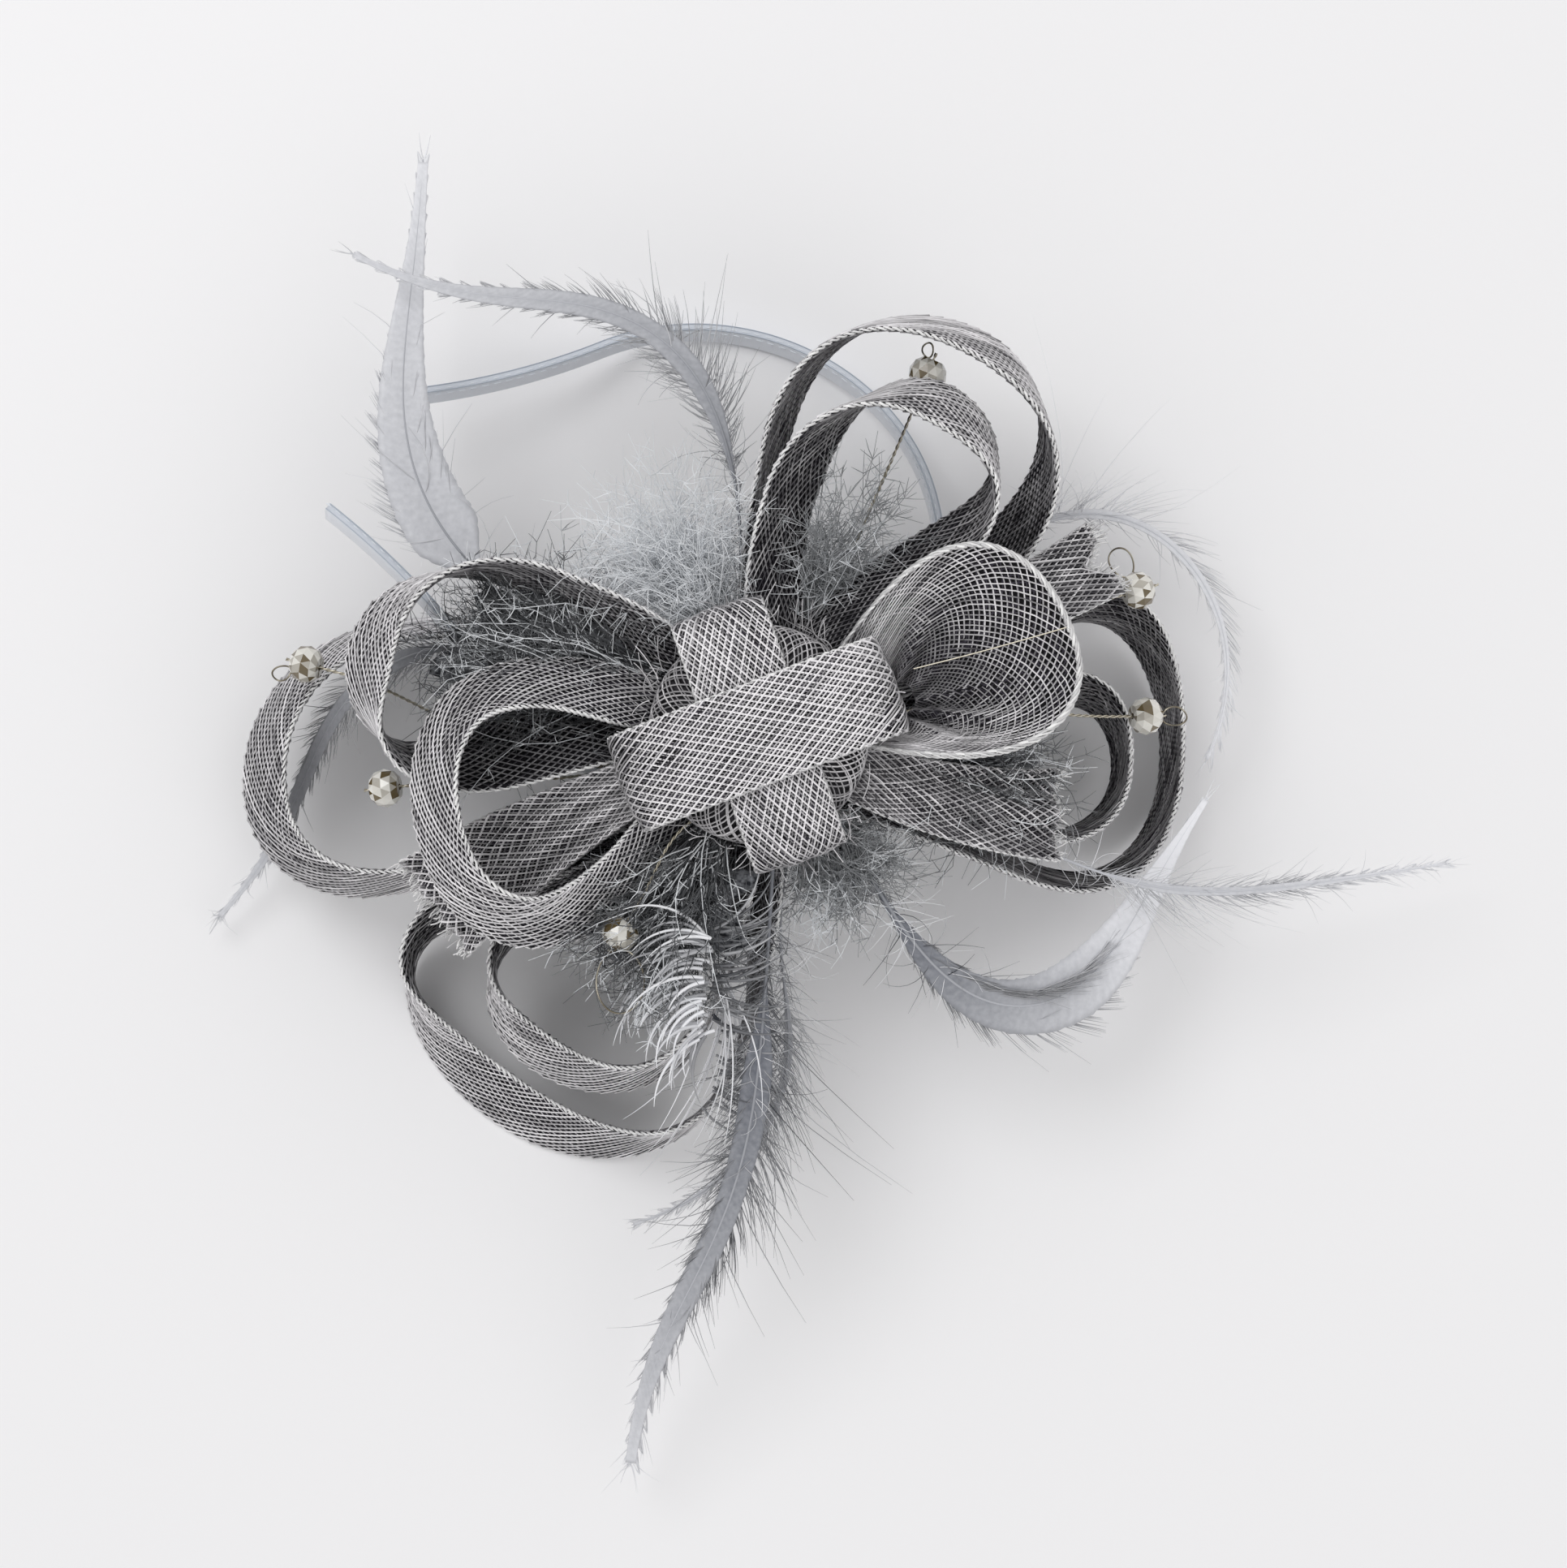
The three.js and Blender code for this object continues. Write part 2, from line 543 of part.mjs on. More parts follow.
// The path of a feather's shaft from its root, by its headings and slopes along the way.
function featherPath(row) {
  const steps = 60;
  const length = row.quill + row.vane;
  const points = [polar(row.turn, CORE.radius + GAP, row.z)];
  for (let i = 0; i < steps; i += 1) {
    const share = (i + 0.5) / steps;
    const heading = curveThrough(row.headings, share);
    const pitch = rad(curveThrough(row.pitches, share));
    const step = along(heading).multiplyScalar(Math.cos(pitch)).setZ(Math.sin(pitch));
    points.push(points[i].clone().addScaledVector(step, length / steps));
  }
  return (share) => {
    const place = THREE.MathUtils.clamp(share, 0, 1) * steps;
    const first = Math.min(Math.floor(place), steps - 1);
    return points[first].clone().lerp(points[first + 1], place - first);
  };
}

// A value on the smooth curve through evenly spaced ones.
function curveThrough(values, share) {
  const knots = values.map((value, i) => new THREE.Vector2(i / (values.length - 1), value));
  return new THREE.SplineCurve(knots).getPoint(share).y;
}

// A tapered lock: a thin three-sided spike from a root along a direction.
function lockSolid(root, forward, sideways, length, width, thickness) {
  const through = forward.clone().cross(sideways).normalize();
  const rings = [[0, 1], [1, 0.2]].map(([share, size]) => {
    const centre = root.clone().addScaledVector(forward, length * share);
    return [
      centre.clone().addScaledVector(sideways, (width * size) / 2),
      centre.clone().addScaledVector(through, thickness * size),
      centre.clone().addScaledVector(sideways, (-width * size) / 2),
    ];
  });
  return solidOf(loft(rings));
}

// The width of a feather's vane at a share of the vane.
function vaneWidth(row, share) {
  if (share <= 0) return FEATHER.quillWidth;
  const rising = smooth(share, 0, row.widest);
  const falling = 1 - (1 - row.tip) * smooth(share, row.widest, 1) ** 0.8;
  return Math.max(FEATHER.quillWidth, row.width * rising * falling);
}

// A feather: a quill and a flat vane in one sweep, with its separated barb locks joined on.
function featherSolid(row) {
  const path = featherPath(row);
  const bare = row.quill / (row.quill + row.vane);
  const onVane = (share) => (share - bare) / (1 - bare);
  const rings = evenShares(path, FEATHER.steps).map((share) => {
    const axes = stripAxes(path, share, 90 + row.roll);
    const half = vaneWidth(row, onVane(share)) / 2;
    const thick = FEATHER.thickness / 2;
    const centre = path(share);
    return [[half, 0], [0, thick], [-half, 0], [0, -thick]].map(([w, t]) =>
      centre.clone().addScaledVector(axes.width, w).addScaledVector(axes.through, t),
    );
  });
  let feather = solidOf(loft(rings));
  for (let i = 0; i < row.strips; i += 1) {
    [-1, 1].forEach((side) => {
      const share = bare + (1 - bare) * (0.12 + (0.7 * (i + (side > 0 ? 0.5 : 0))) / row.strips);
      const axes = stripAxes(path, share, 90 + row.roll);
      const forward = axes.tangent
        .clone()
        .multiplyScalar(Math.cos(rad(FEATHER.stripSlant)))
        .addScaledVector(axes.width, side * Math.sin(rad(FEATHER.stripSlant)));
      const sideways = forward.clone().cross(axes.through).normalize();
      const length = row.width * row.stripLength * (1 - 0.35 * onVane(share));
      const lock = lockSolid(
        path(share), forward, sideways, length, FEATHER.stripWidth, FEATHER.thickness * 0.6,
      );
      feather = feather.add(lock);
    });
  }
  return feather;
}

// A tuft of down: locks of alternating length fanned out from a head that meets the core.
function tuftSolid(row) {
  const root = polar(row.turn, CORE.radius + GAP + TUFT.head / 2, row.z);
  const head = new THREE.SphereGeometry(TUFT.head / 2, 6, 5).translate(root.x, root.y, root.z);
  let tuft = solidOf(head);
  for (let i = 0; i < row.locks; i += 1) {
    const part = i / (row.locks - 1) - 0.5;
    const heading = row.heading + row.spread * 2 * part;
    const climb = TUFT.tiers[i % 3] + row.rise / row.reach;
    const forward = along(heading).setZ(climb).normalize();
    const length = row.reach * (1 - 0.5 * Math.abs(part)) * TUFT.lengths[i % 3];
    const lock = lockSolid(root, forward, across(heading), length, TUFT.lockWidth, TUFT.lockThickness);
    tuft = tuft.add(lock);
  }
  return tuft;
}

// The wire of a bead: a bowed run from the core, then straight through the bead.
function wirePath(row) {
  const root = polar(row.rootTurn, CORE.radius + GAP, row.rootZ);
  const bead = polar(row.turn, row.reach, row.z);
  const axis = bead.clone().sub(root).normalize();
  const side = axis.clone().cross(UP).normalize();
  const lead = bead.clone().addScaledVector(axis, -BEAD.length / 2 - WIRE.lead);
  const third = root.distanceTo(lead) / 3;
  const bowed = root.clone().addScaledVector(along(row.rootTurn), third);
  const path = new THREE.CurvePath();
  const intoBead = lead.clone().addScaledVector(axis, -third);
  bowed.addScaledVector(side, row.bow);
  path.add(new THREE.CubicBezierCurve3(root, bowed, intoBead, lead));
  const end = bead.clone().addScaledVector(axis, BEAD.length / 2 + WIRE.tail);
  path.add(new THREE.LineCurve3(lead, end));
  return { path, bead, axis };
}

// A regular outline with a given number of sides.
function roundShape(diameter, sides) {
  const corners = Array.from({ length: sides }, (_, i) => {
    const angle = (2 * Math.PI * i) / sides;
    return new THREE.Vector2(Math.cos(angle), Math.sin(angle)).multiplyScalar(diameter / 2);
  });
  return new THREE.Shape(corners);
}

// A bead's wire.
function wireSolid(row) {
  const { path } = wirePath(row);
  const settings = { steps: WIRE.steps, extrudePath: path, bevelEnabled: false };
  return solidOf(new THREE.ExtrudeGeometry(roundShape(WIRE.diameter, WIRE.sides), settings));
}

// A drilled bead with a flat table at each end and a facet on each of its sides.
function beadSolid(row) {
  const { bead, axis } = wirePath(row);
  const hole = WIRE.diameter / 2 + WIRE.holeGap;
  const half = BEAD.length / 2;
  const profile = [
    [hole, -half], [BEAD.table / 2, -half], [BEAD.diameter / 2, -BEAD.girdle / 2],
    [BEAD.diameter / 2, BEAD.girdle / 2], [BEAD.table / 2, half], [hole, half], [hole, -half],
  ].map(([r, y]) => new THREE.Vector2(r, y));
  const turned = new THREE.LatheGeometry(profile, BEAD.sides);
  const upright = new THREE.Quaternion().setFromUnitVectors(new THREE.Vector3(0, 1, 0), axis);
  return solidOf(turned.applyQuaternion(upright).translate(bead.x, bead.y, bead.z));
}

const cluster = new THREE.Group();
cluster.add(piece("headband", headbandSolid(0), "satin"));
cluster.add(piece("gathered_core", coreSolid(), "net"));
WRAPS.forEach((row) => cluster.add(piece(row.name, wrapSolid(row), "netLight")));
LOOPS.forEach((row) => cluster.add(piece(row.name, loopSolid(row), "net")));
cluster.add(piece(CUP.name, cupSolid(), "netLight"));
TAILS.forEach((row) => cluster.add(piece(row.name, tailSolid(row), "netLight")));
FEATHERS.forEach((row) => cluster.add(piece(row.name, featherSolid(row), "vane")));
TUFTS.forEach((row) => cluster.add(piece(row.name, tuftSolid(row), "down")));
BEADS.forEach((row) => {
  cluster.add(piece(`wire_${row.name}`, wireSolid(row), "wire"));
  cluster.add(piece(`bead_${row.name}`, beadSolid(row), "crystal"));
});

// The whole is set down with the middle of its outline on the origin and its lowest point at 0.
const extent = new THREE.Box3().setFromObject(cluster, true);
const middle = extent.getCenter(new THREE.Vector3());
cluster.position.set(-middle.x, -middle.y, -extent.min.z);

const group = new THREE.Group();
group.add(cluster);

export default group;
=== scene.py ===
"""The finished looks of a net-ribbon fascinator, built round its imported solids.

Sizes are millimetres and degrees in the cluster's own frame, whose origin is the middle of the
gathered core. A mesh is made in metres in the part's frame, with its object at the origin.
"""

import logging
import math
from dataclasses import dataclass, field
from enum import Enum
from typing import Callable, ClassVar

import bpy
import numpy as np
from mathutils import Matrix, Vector


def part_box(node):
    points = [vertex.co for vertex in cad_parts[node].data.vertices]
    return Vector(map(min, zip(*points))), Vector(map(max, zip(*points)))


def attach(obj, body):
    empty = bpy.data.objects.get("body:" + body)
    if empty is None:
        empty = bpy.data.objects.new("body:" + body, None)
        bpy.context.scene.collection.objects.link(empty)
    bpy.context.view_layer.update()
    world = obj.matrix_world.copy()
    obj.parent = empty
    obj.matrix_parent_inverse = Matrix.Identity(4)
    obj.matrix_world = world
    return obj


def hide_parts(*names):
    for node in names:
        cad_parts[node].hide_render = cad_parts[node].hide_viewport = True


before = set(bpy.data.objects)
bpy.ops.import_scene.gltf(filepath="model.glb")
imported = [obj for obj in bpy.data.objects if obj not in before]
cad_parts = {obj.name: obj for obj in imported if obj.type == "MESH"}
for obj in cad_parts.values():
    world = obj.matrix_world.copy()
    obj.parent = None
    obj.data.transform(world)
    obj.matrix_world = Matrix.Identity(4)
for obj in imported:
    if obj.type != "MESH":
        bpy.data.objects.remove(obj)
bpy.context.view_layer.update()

LOG = logging.getLogger("fascinator")
Array = np.ndarray
Path = Callable[[Array], Array]
Random = np.random.Generator
Pair = tuple[float, float]
Triple = tuple[float, float, float]
UP = np.array([0.0, 0.0, 1.0])
RIBBON_WIDTH = 20.0
ROOT_WIDTH = 9.0
CORE_RADIUS = 22.0
ROOT_RADIUS = 17.0
CLEARANCE = 0.3


def polar(turn: float, distance: float, height: float = 0.0) -> Array:
    """The point at a direction, a distance from the core's axis and a height.

    Args:
        turn: Direction in degrees, counterclockwise from +X.
        distance: Distance from the core's axis.
        height: Height over the core's middle.

    Returns:
        The point as three numbers.
    """
    angle = math.radians(turn)
    return np.array([distance * math.cos(angle), distance * math.sin(angle), height])


def smooth(value: Array | float, low: float, high: float) -> Array:
    """The eased share of the way from low to high, 0 before and 1 after."""
    part = np.clip((value - low) / (high - low), 0.0, 1.0)
    return part * part * (3.0 - 2.0 * part)


def unit(vectors: Array) -> Array:
    """The vectors at length 1."""
    return vectors / np.maximum(np.linalg.norm(vectors, axis=-1, keepdims=True), 1e-9)


def between(ends: Pair, share: Array | float) -> Array:
    """Values at shares of the way from one end to the other."""
    return ends[0] + (ends[1] - ends[0]) * share


def grid(rows: Array, columns: Array) -> list[Array]:
    """Two grids, one with the rows' values and one with the columns' values."""
    return np.meshgrid(rows, columns, indexing="ij")


def lengths_to(points: Array) -> Array:
    """Each point's distance from the first one, measured along their line."""
    steps = np.linalg.norm(np.diff(points, axis=0), axis=1)
    return np.concatenate([[0.0], np.cumsum(steps)])


def read_rows(places: Array, known: Array, rows: Array) -> Array:
    """Rows read at any places between the known ones."""
    return np.stack([np.interp(places, known, column) for column in rows.T], -1)


def round_axis(radius: Array, turn: Array, height: Array | float) -> Array:
    """Points round the core's axis, at turns in radians."""
    return np.stack([radius * np.cos(turn), radius * np.sin(turn), height + 0 * turn], -1)


def at_stations(values: tuple[float, ...], share: Array) -> Array:
    """Values at evenly spaced stations, eased from one to the next.

    Args:
        values: The value at each station.
        share: Shares of the way at which they are read.

    Returns:
        One value for each share.
    """
    place = np.clip(share, 0.0, 1.0) * (len(values) - 1)
    first = np.minimum(np.floor(place).astype(int), len(values) - 2)
    known = np.asarray(values, float)
    return known[first] + (known[first + 1] - known[first]) * smooth(place - first, 0.0, 1.0)


def on_curve(values: tuple[float, ...], share: Array) -> Array:
    """Values on the smooth curve through evenly spaced ones.

    Args:
        values: The value at each knot.
        share: Shares of the way at which they are read.

    Returns:
        One value for each share.
    """
    known = np.asarray(values, float)
    last = len(known) - 1
    place = np.clip(share, 0.0, 1.0) * last
    first = np.minimum(np.floor(place).astype(int), last - 1)
    part = place - first
    before, here = known[np.maximum(first - 1, 0)], known[first]
    after, beyond = known[first + 1], known[np.minimum(first + 2, last)]
    leave, arrive = (after - before) / 2, (beyond - here) / 2
    return (
        (2 * here - 2 * after + leave + arrive) * part**3
        + (-3 * here + 3 * after - 2 * leave - arrive) * part**2
        + leave * part
        + here
    )


def linear(hex_colour: str) -> tuple[float, float, float, float]:
    """An sRGB hex colour as the linear one that Blender's sockets take."""
    parts = [int(hex_colour[i : i + 2], 16) / 255 for i in (1, 3, 5)]
    lit = (c / 12.92 if c <= 0.04045 else ((c + 0.055) / 1.055) ** 2.4 for c in parts)
    return (*lit, 1.0)


def add_node(
    tree: bpy.types.NodeTree,
    kind: str,
    settings: dict[str, object] | None = None,
    links: dict[str, bpy.types.NodeSocket] | None = None,
) -> bpy.types.Node:
    """Adds a node with its settings and links.

    Args:
        tree: The tree that gets the node.
        kind: The node's type.
        settings: Values for its properties, or for inputs by their name or identifier.
        links: Sources for inputs by their name or identifier.

    Returns:
        The node.
    """
    made = tree.nodes.new(kind)
    for key, value in (settings or {}).items():
        if hasattr(made, key):
            setattr(made, key, value)
        else:
            next(s for s in made.inputs if key in (s.identifier, s.name)).default_value = value
    for key, source in (links or {}).items():
        tree.links.new(source, next(s for s in made.inputs if key in (s.identifier, s.name)))
    return made


@dataclass(frozen=True)
class Place:
    """Where the cluster's middle stands in the part's frame, in metres."""

    middle: Triple

    @classmethod
    def of_core(cls) -> "Place":
        """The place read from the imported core, whose dome rises 10 mm over the middle."""
        low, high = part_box("gathered_core")
        return cls(((low.x + high.x) / 2, (low.y + high.y) / 2, high.z - 0.010))

    def in_part(self, points: Array) -> Array:
        """Points of the cluster's frame in the part's frame, in metres."""
        return np.asarray(points, float) / 1000 + np.array(self.middle)


PLACE = Place.of_core()


@dataclass(frozen=True)
class Finish:
    """A finish, whose material is made once and then shared."""

    name: str
    made: ClassVar[dict[str, bpy.types.Material]] = {}

    def material(self) -> bpy.types.Material:
        """The finish's material."""
        if self.name not in self.made:
            material = bpy.data.materials.new(self.name)
            material.use_nodes = True
            tree = material.node_tree
            tree.nodes.clear()
            shader = self.shade(tree)
            add_node(tree, "ShaderNodeOutputMaterial", links={"Surface": shader.outputs[0]})
            self.made[self.name] = material
        return self.made[self.name]

    def shade(self, tree: bpy.types.NodeTree) -> bpy.types.Node:
        """Adds the finish's nodes and returns its shader."""
        raise NotImplementedError


@dataclass(frozen=True)
class Fibre(Finish):
    """A fibre whose colour runs from dark to light with the tone that each strand carries."""

    dark: str
    light: str
    roughness: float = 0.5
    metallic: float = 0.0
    sheen: float = 0.0
    mottle: float = 0.0
    mottle_size: float = 5.0

    def shade(self, tree: bpy.types.NodeTree) -> bpy.types.Node:
        """Mixes dark and light by the tone, mottled by a noise as large as mottle_size."""
        tone = add_node(tree, "ShaderNodeAttribute", {"attribute_name": "tone"})
        where = add_node(tree, "ShaderNodeTexCoord")
        noise = add_node(
            tree,
            "ShaderNodeTexNoise",
            {"Scale": 1000 / self.mottle_size, "Detail": 2.0},
            {"Vector": where.outputs["Object"]},
        )
        part = add_node(
            tree,
            "ShaderNodeMath",
            {"operation": "MULTIPLY_ADD", "Value_001": 2 * self.mottle},
            {"Value": noise.outputs[0], "Value_002": tone.outputs["Fac"]},
        )
        share = add_node(
            tree,
            "ShaderNodeMath",
            {"operation": "SUBTRACT", "Value_001": self.mottle, "use_clamp": True},
            {"Value": part.outputs[0]},
        )
        colour = add_node(
            tree,
            "ShaderNodeMix",
            {"data_type": "RGBA", "A_Color": linear(self.dark), "B_Color": linear(self.light)},
            {"Factor_Float": share.outputs[0]},
        )
        return add_node(
            tree,
            "ShaderNodeBsdfPrincipled",
            {"Roughness": self.roughness, "Metallic": self.metallic, "Sheen Weight": self.sheen},
            {"Base Color": next(s for s in colour.outputs if s.identifier == "Result_Color")},
        )


@dataclass(frozen=True)
class NetInShade(Finish):
    """The ribbon's inner layer of net, seen in the shade between the outer layer's threads."""

    gap: str
    thread: str
    cell: float = 2.4
    width: float = 1.3
    thickness: float = 0.3

    def shade(self, tree: bpy.types.NodeTree) -> bpy.types.Node:
        """Draws two slanting sets of threads by the net's own millimetres over the dark gaps."""
        weave = add_node(tree, "ShaderNodeAttribute", {"attribute_name": "weave"})
        parts = add_node(tree, "ShaderNodeSeparateXYZ", links={"Vector": weave.outputs["Vector"]})
        sets = []
        for slant in (1, -1):
            across = add_node(
                tree,
                "ShaderNodeMath",
                {"operation": "MULTIPLY", "Value_001": slant / self.width},
                {"Value": parts.outputs["X"]},
            )
            place = add_node(
                tree,
                "ShaderNodeMath",
                {"operation": "MULTIPLY_ADD", "Value_001": 1 / self.cell},
                {"Value": parts.outputs["Y"], "Value_002": across.outputs[0]},
            )
            turn = add_node(
                tree, "ShaderNodeMath", {"operation": "FRACT"}, {"Value": place.outputs[0]}
            )
            line = add_node(
                tree,
                "ShaderNodeMath",
                {"operation": "LESS_THAN", "Value_001": self.thickness},
                {"Value": turn.outputs[0]},
            )
            sets.append(line)
        either = add_node(
            tree,
            "ShaderNodeMath",
            {"operation": "MAXIMUM"},
            {"Value": sets[0].outputs[0], "Value_001": sets[1].outputs[0]},
        )
        tone = add_node(tree, "ShaderNodeAttribute", {"attribute_name": "tone"})
        lit = add_node(
            tree,
            "ShaderNodeMath",
            {"operation": "MULTIPLY"},
            {"Value": either.outputs[0], "Value_001": tone.outputs["Fac"]},
        )
        colour = add_node(
            tree,
            "ShaderNodeMix",
            {"data_type": "RGBA", "A_Color": linear(self.gap), "B_Color": linear(self.thread)},
            {"Factor_Float": lit.outputs[0]},
        )
        return add_node(
            tree,
            "ShaderNodeBsdfPrincipled",
            {"Roughness": 0.8, "Specular IOR Level": 0.2},
            {"Base Color": next(s for s in colour.outputs if s.identifier == "Result_Color")},
        )


@dataclass(frozen=True)
class CutGlass(Finish):
    """Faceted crystal with a champagne tint, each facet as light as the tone it carries: painted
    reflections, light and dark.
    """

    clear: str
    dark_reflection: str

    def shade(self, tree: bpy.types.NodeTree) -> bpy.types.Node:
        """Mixes the two colours by the facet's tone under a clear polished surface."""
        tone = add_node(tree, "ShaderNodeAttribute", {"attribute_name": "tone"})
        colour = add_node(
            tree,
            "ShaderNodeMix",
            {"data_type": "RGBA", "A_Color": linear(self.dark_reflection), "B_Color": linear(self.clear)},
            {"Factor_Float": tone.outputs["Fac"]},
        )
        return add_node(
            tree,
            "ShaderNodeBsdfPrincipled",
            {"Roughness": 0.04, "IOR": 1.56, "Transmission Weight": 0.25, "Coat Weight": 0.6},
            {"Base Color": next(s for s in colour.outputs if s.identifier == "Result_Color")},
        )


# Metallised polyester yarn, twisted: silvery, and lighter where it takes the light.
NET_THREAD = Fibre("metallised_net_yarn", "#25222b", "#fefcff", 0.4, 0.1, 0.0, 0.2, 5.0)
# The same yarn rolled and stitched along a ribbon's edges: the brightest line on it, with painted
# light and shade along each ply's twist.
BOUND_EDGE = Fibre("bound_net_edge", "#6b6870", "#ffffff", 0.45, 0.05, 0.0, 0.14, 3.0)
# The ribbon's inner layer between the threads, painted as shade: near-black gaps, with its own net
# just visible in dark mauve grey.
LINING = NetInShade("net_inner_layer_in_shade", "#08070b", "#45414c", thickness=0.16)
# Dyed feather barbs: soft blue grey with a slight sheen.
BARB = Fibre("dyed_feather_barb", "#20242f", "#f8f9fd", 0.6, 0.0, 0.0, 0.12, 8.0)
# Barbs zipped to a closed vane: smoother and a little glossier than loose ones.
VANE = Fibre("dyed_feather_vane", "#39404f", "#f6f7fc", 0.55, 0.0, 0.0, 0.1, 1.2)
# The same net gathered and stitched into a stack, deep in its own shade.
STACK = Fibre("gathered_net_stack", "#121016", "#77747d", 0.8, 0.0, 0.0, 0.1, 1.5)
# Feather shaft, keratin: smooth, dark where it is dyed and pale near the tip.
SHAFT = Fibre("feather_shaft", "#353a48", "#eceef4", 0.4)
# Down barbs, dyed: the bright hairs and white tips are painted highlights, the darker roots painted
# shade in the depth of the tuft.
DOWN = Fibre("down_with_painted_glints", "#0c1019", "#f8fbff", 0.6, 0.0, 0.0, 0.1, 4.0)
# Matted down under the loose barbs: the down's slate, darkened as painted shade in the depth of the
# tuft and broken by fine streaks that are painted highlights.
DOWN_BED = Fibre("down_bed_shade_and_glints", "#171a23", "#e4e7ee", 0.8, 0.0, 0.0, 0.6, 1.3)
# Polyester satin, woven and glued round the band: pale blue grey with a soft gloss.
SATIN = Fibre("blue_grey_satin", "#bfc6d1", "#edf0f6", 0.38, 0.0, 0.3, 0.1, 2.5)
# Sewing thread: a shade lighter than the satin, so that the stitches show.
THREAD = Fibre("sewing_thread", "#9aa6b6", "#eef2f7", 0.6)
# Silver-plated wire, with painted light and shade: each twisted ply lighter on its upper side and
# darker on its shaded side, and painted highlights along the bent loops.
WIRE = Fibre("silver_gilt_wire", "#6f6656", "#d8d2c2", 0.3, 1.0)
# Cut crystal with a champagne tint, its facets painted light and dark as reflections, its drilled
# hole painted dark as shade.
CRYSTAL = CutGlass("champagne_crystal", "#fffdf6", "#6f6042")


@dataclass
class Strands:
    """Lines with a girth and a tone at each point, gathered to be swept in one go."""

    points: list[Array] = field(default_factory=list)
    girths: list[Array] = field(default_factory=list)
    tones: list[Array] = field(default_factory=list)

    def add(self, lines: Array, girth: Array | float, tone: Array | float) -> None:
        """Adds lines of equal point count.

        Args:
            lines: Points in the cluster's frame, as lines by points by three.
            girth: Radius of the strand at each point, or one for all.
            tone: Tone at each point, or one for all: 0 is dark, and from 1 on it is light.
        """
        lines = lines[None] if lines.ndim == 2 else lines
        self.points.append(lines)
        self.girths.append(np.broadcast_to(girth, lines.shape[:2]))
        self.tones.append(np.clip(np.broadcast_to(tone, lines.shape[:2]), 0.0, 1.3))

    def mesh(self, name: str) -> bpy.types.Mesh:
        """The lines as a mesh of edges that carries girth and tone, none of it in the table."""
        edges, start = [], 0
        for lines in self.points:
            count, length = lines.shape[:2]
            index = start + np.arange(count * length).reshape(count, length)
            edges.append(np.stack([index[:, :-1], index[:, 1:]], -1).reshape(-1, 2))
            start += count * length
        joined = np.concatenate(edges)
        made = bpy.data.meshes.new(name)
        made.vertices.add(start)
        made.edges.add(len(joined))
        spots = PLACE.in_part(np.concatenate([p.reshape(-1, 3) for p in self.points]))
        spots[:, 2] = np.maximum(spots[:, 2], 0.0005)
        made.vertices.foreach_set("co", spots.ravel())
        made.edges.foreach_set("vertices", joined.ravel())
        for key, rows in (("girth", self.girths), ("tone", self.tones)):
            flat = np.concatenate([row.ravel() for row in rows])
            made.attributes.new(key, "FLOAT", "POINT").data.foreach_set("value", flat)
        return made


def tree_with(name: str, sizes: dict[str, str]) -> bpy.types.NodeTree:
    """A geometry node tree with named inputs.

    Args:
        name: The tree's name.
        sizes: Each input's name with its socket type.

    Returns:
        The tree, with a geometry input and output besides.
    """
    tree = bpy.data.node_groups.new(name, "GeometryNodeTree")
    tree.interface.new_socket("Geometry", in_out="INPUT", socket_type="NodeSocketGeometry")
    for key, kind in sizes.items():
        tree.interface.new_socket(key, in_out="INPUT", socket_type=kind)
    tree.interface.new_socket("Geometry", in_out="OUTPUT", socket_type="NodeSocketGeometry")
    return tree


def end_tree(
    tree: bpy.types.NodeTree, geometry: bpy.types.NodeSocket, finish: bpy.types.NodeSocket
) -> None:
    """Ends a tree: its instances are made real and get their finish.

    Args:
        tree: The tree.
        geometry: The socket that gives the shape.
        finish: The socket that gives the material.
    """
    real = add_node(tree, "GeometryNodeRealizeInstances", links={"Geometry": geometry})
    links = {"Geometry": real.outputs[0], "Material": finish}
    dressed = add_node(tree, "GeometryNodeSetMaterial", links=links)
    add_node(tree, "NodeGroupOutput", links={"Geometry": dressed.outputs[0]})


def grown(
    name: str, source: bpy.types.Mesh, tree: bpy.types.NodeTree, sizes: dict[str, object]
) -> bpy.types.Object:
    """The plain mesh that a geometry node tree makes of a source.

    Args:
        name: The object's name.
        source: The mesh that goes into the tree.
        tree: The geometry node tree.
        sizes: A value for each of the tree's named inputs.

    Returns:
        An object with the finished mesh and no modifier.
    """
    made = bpy.data.objects.new(name, source)
    bpy.context.scene.collection.objects.link(made)
    modifier = made.modifiers.new("grow", "NODES")
    modifier.node_group = tree
    for item in tree.interface.items_tree:
        if item.in_out == "INPUT" and item.name in sizes:
            modifier[item.identifier] = sizes[item.name]
    graph = bpy.context.evaluated_depsgraph_get()
    result = bpy.data.meshes.new_from_object(made.evaluated_get(graph), depsgraph=graph)
    made.modifiers.remove(modifier)
    made.data = result
    bpy.data.meshes.remove(source)
    return made


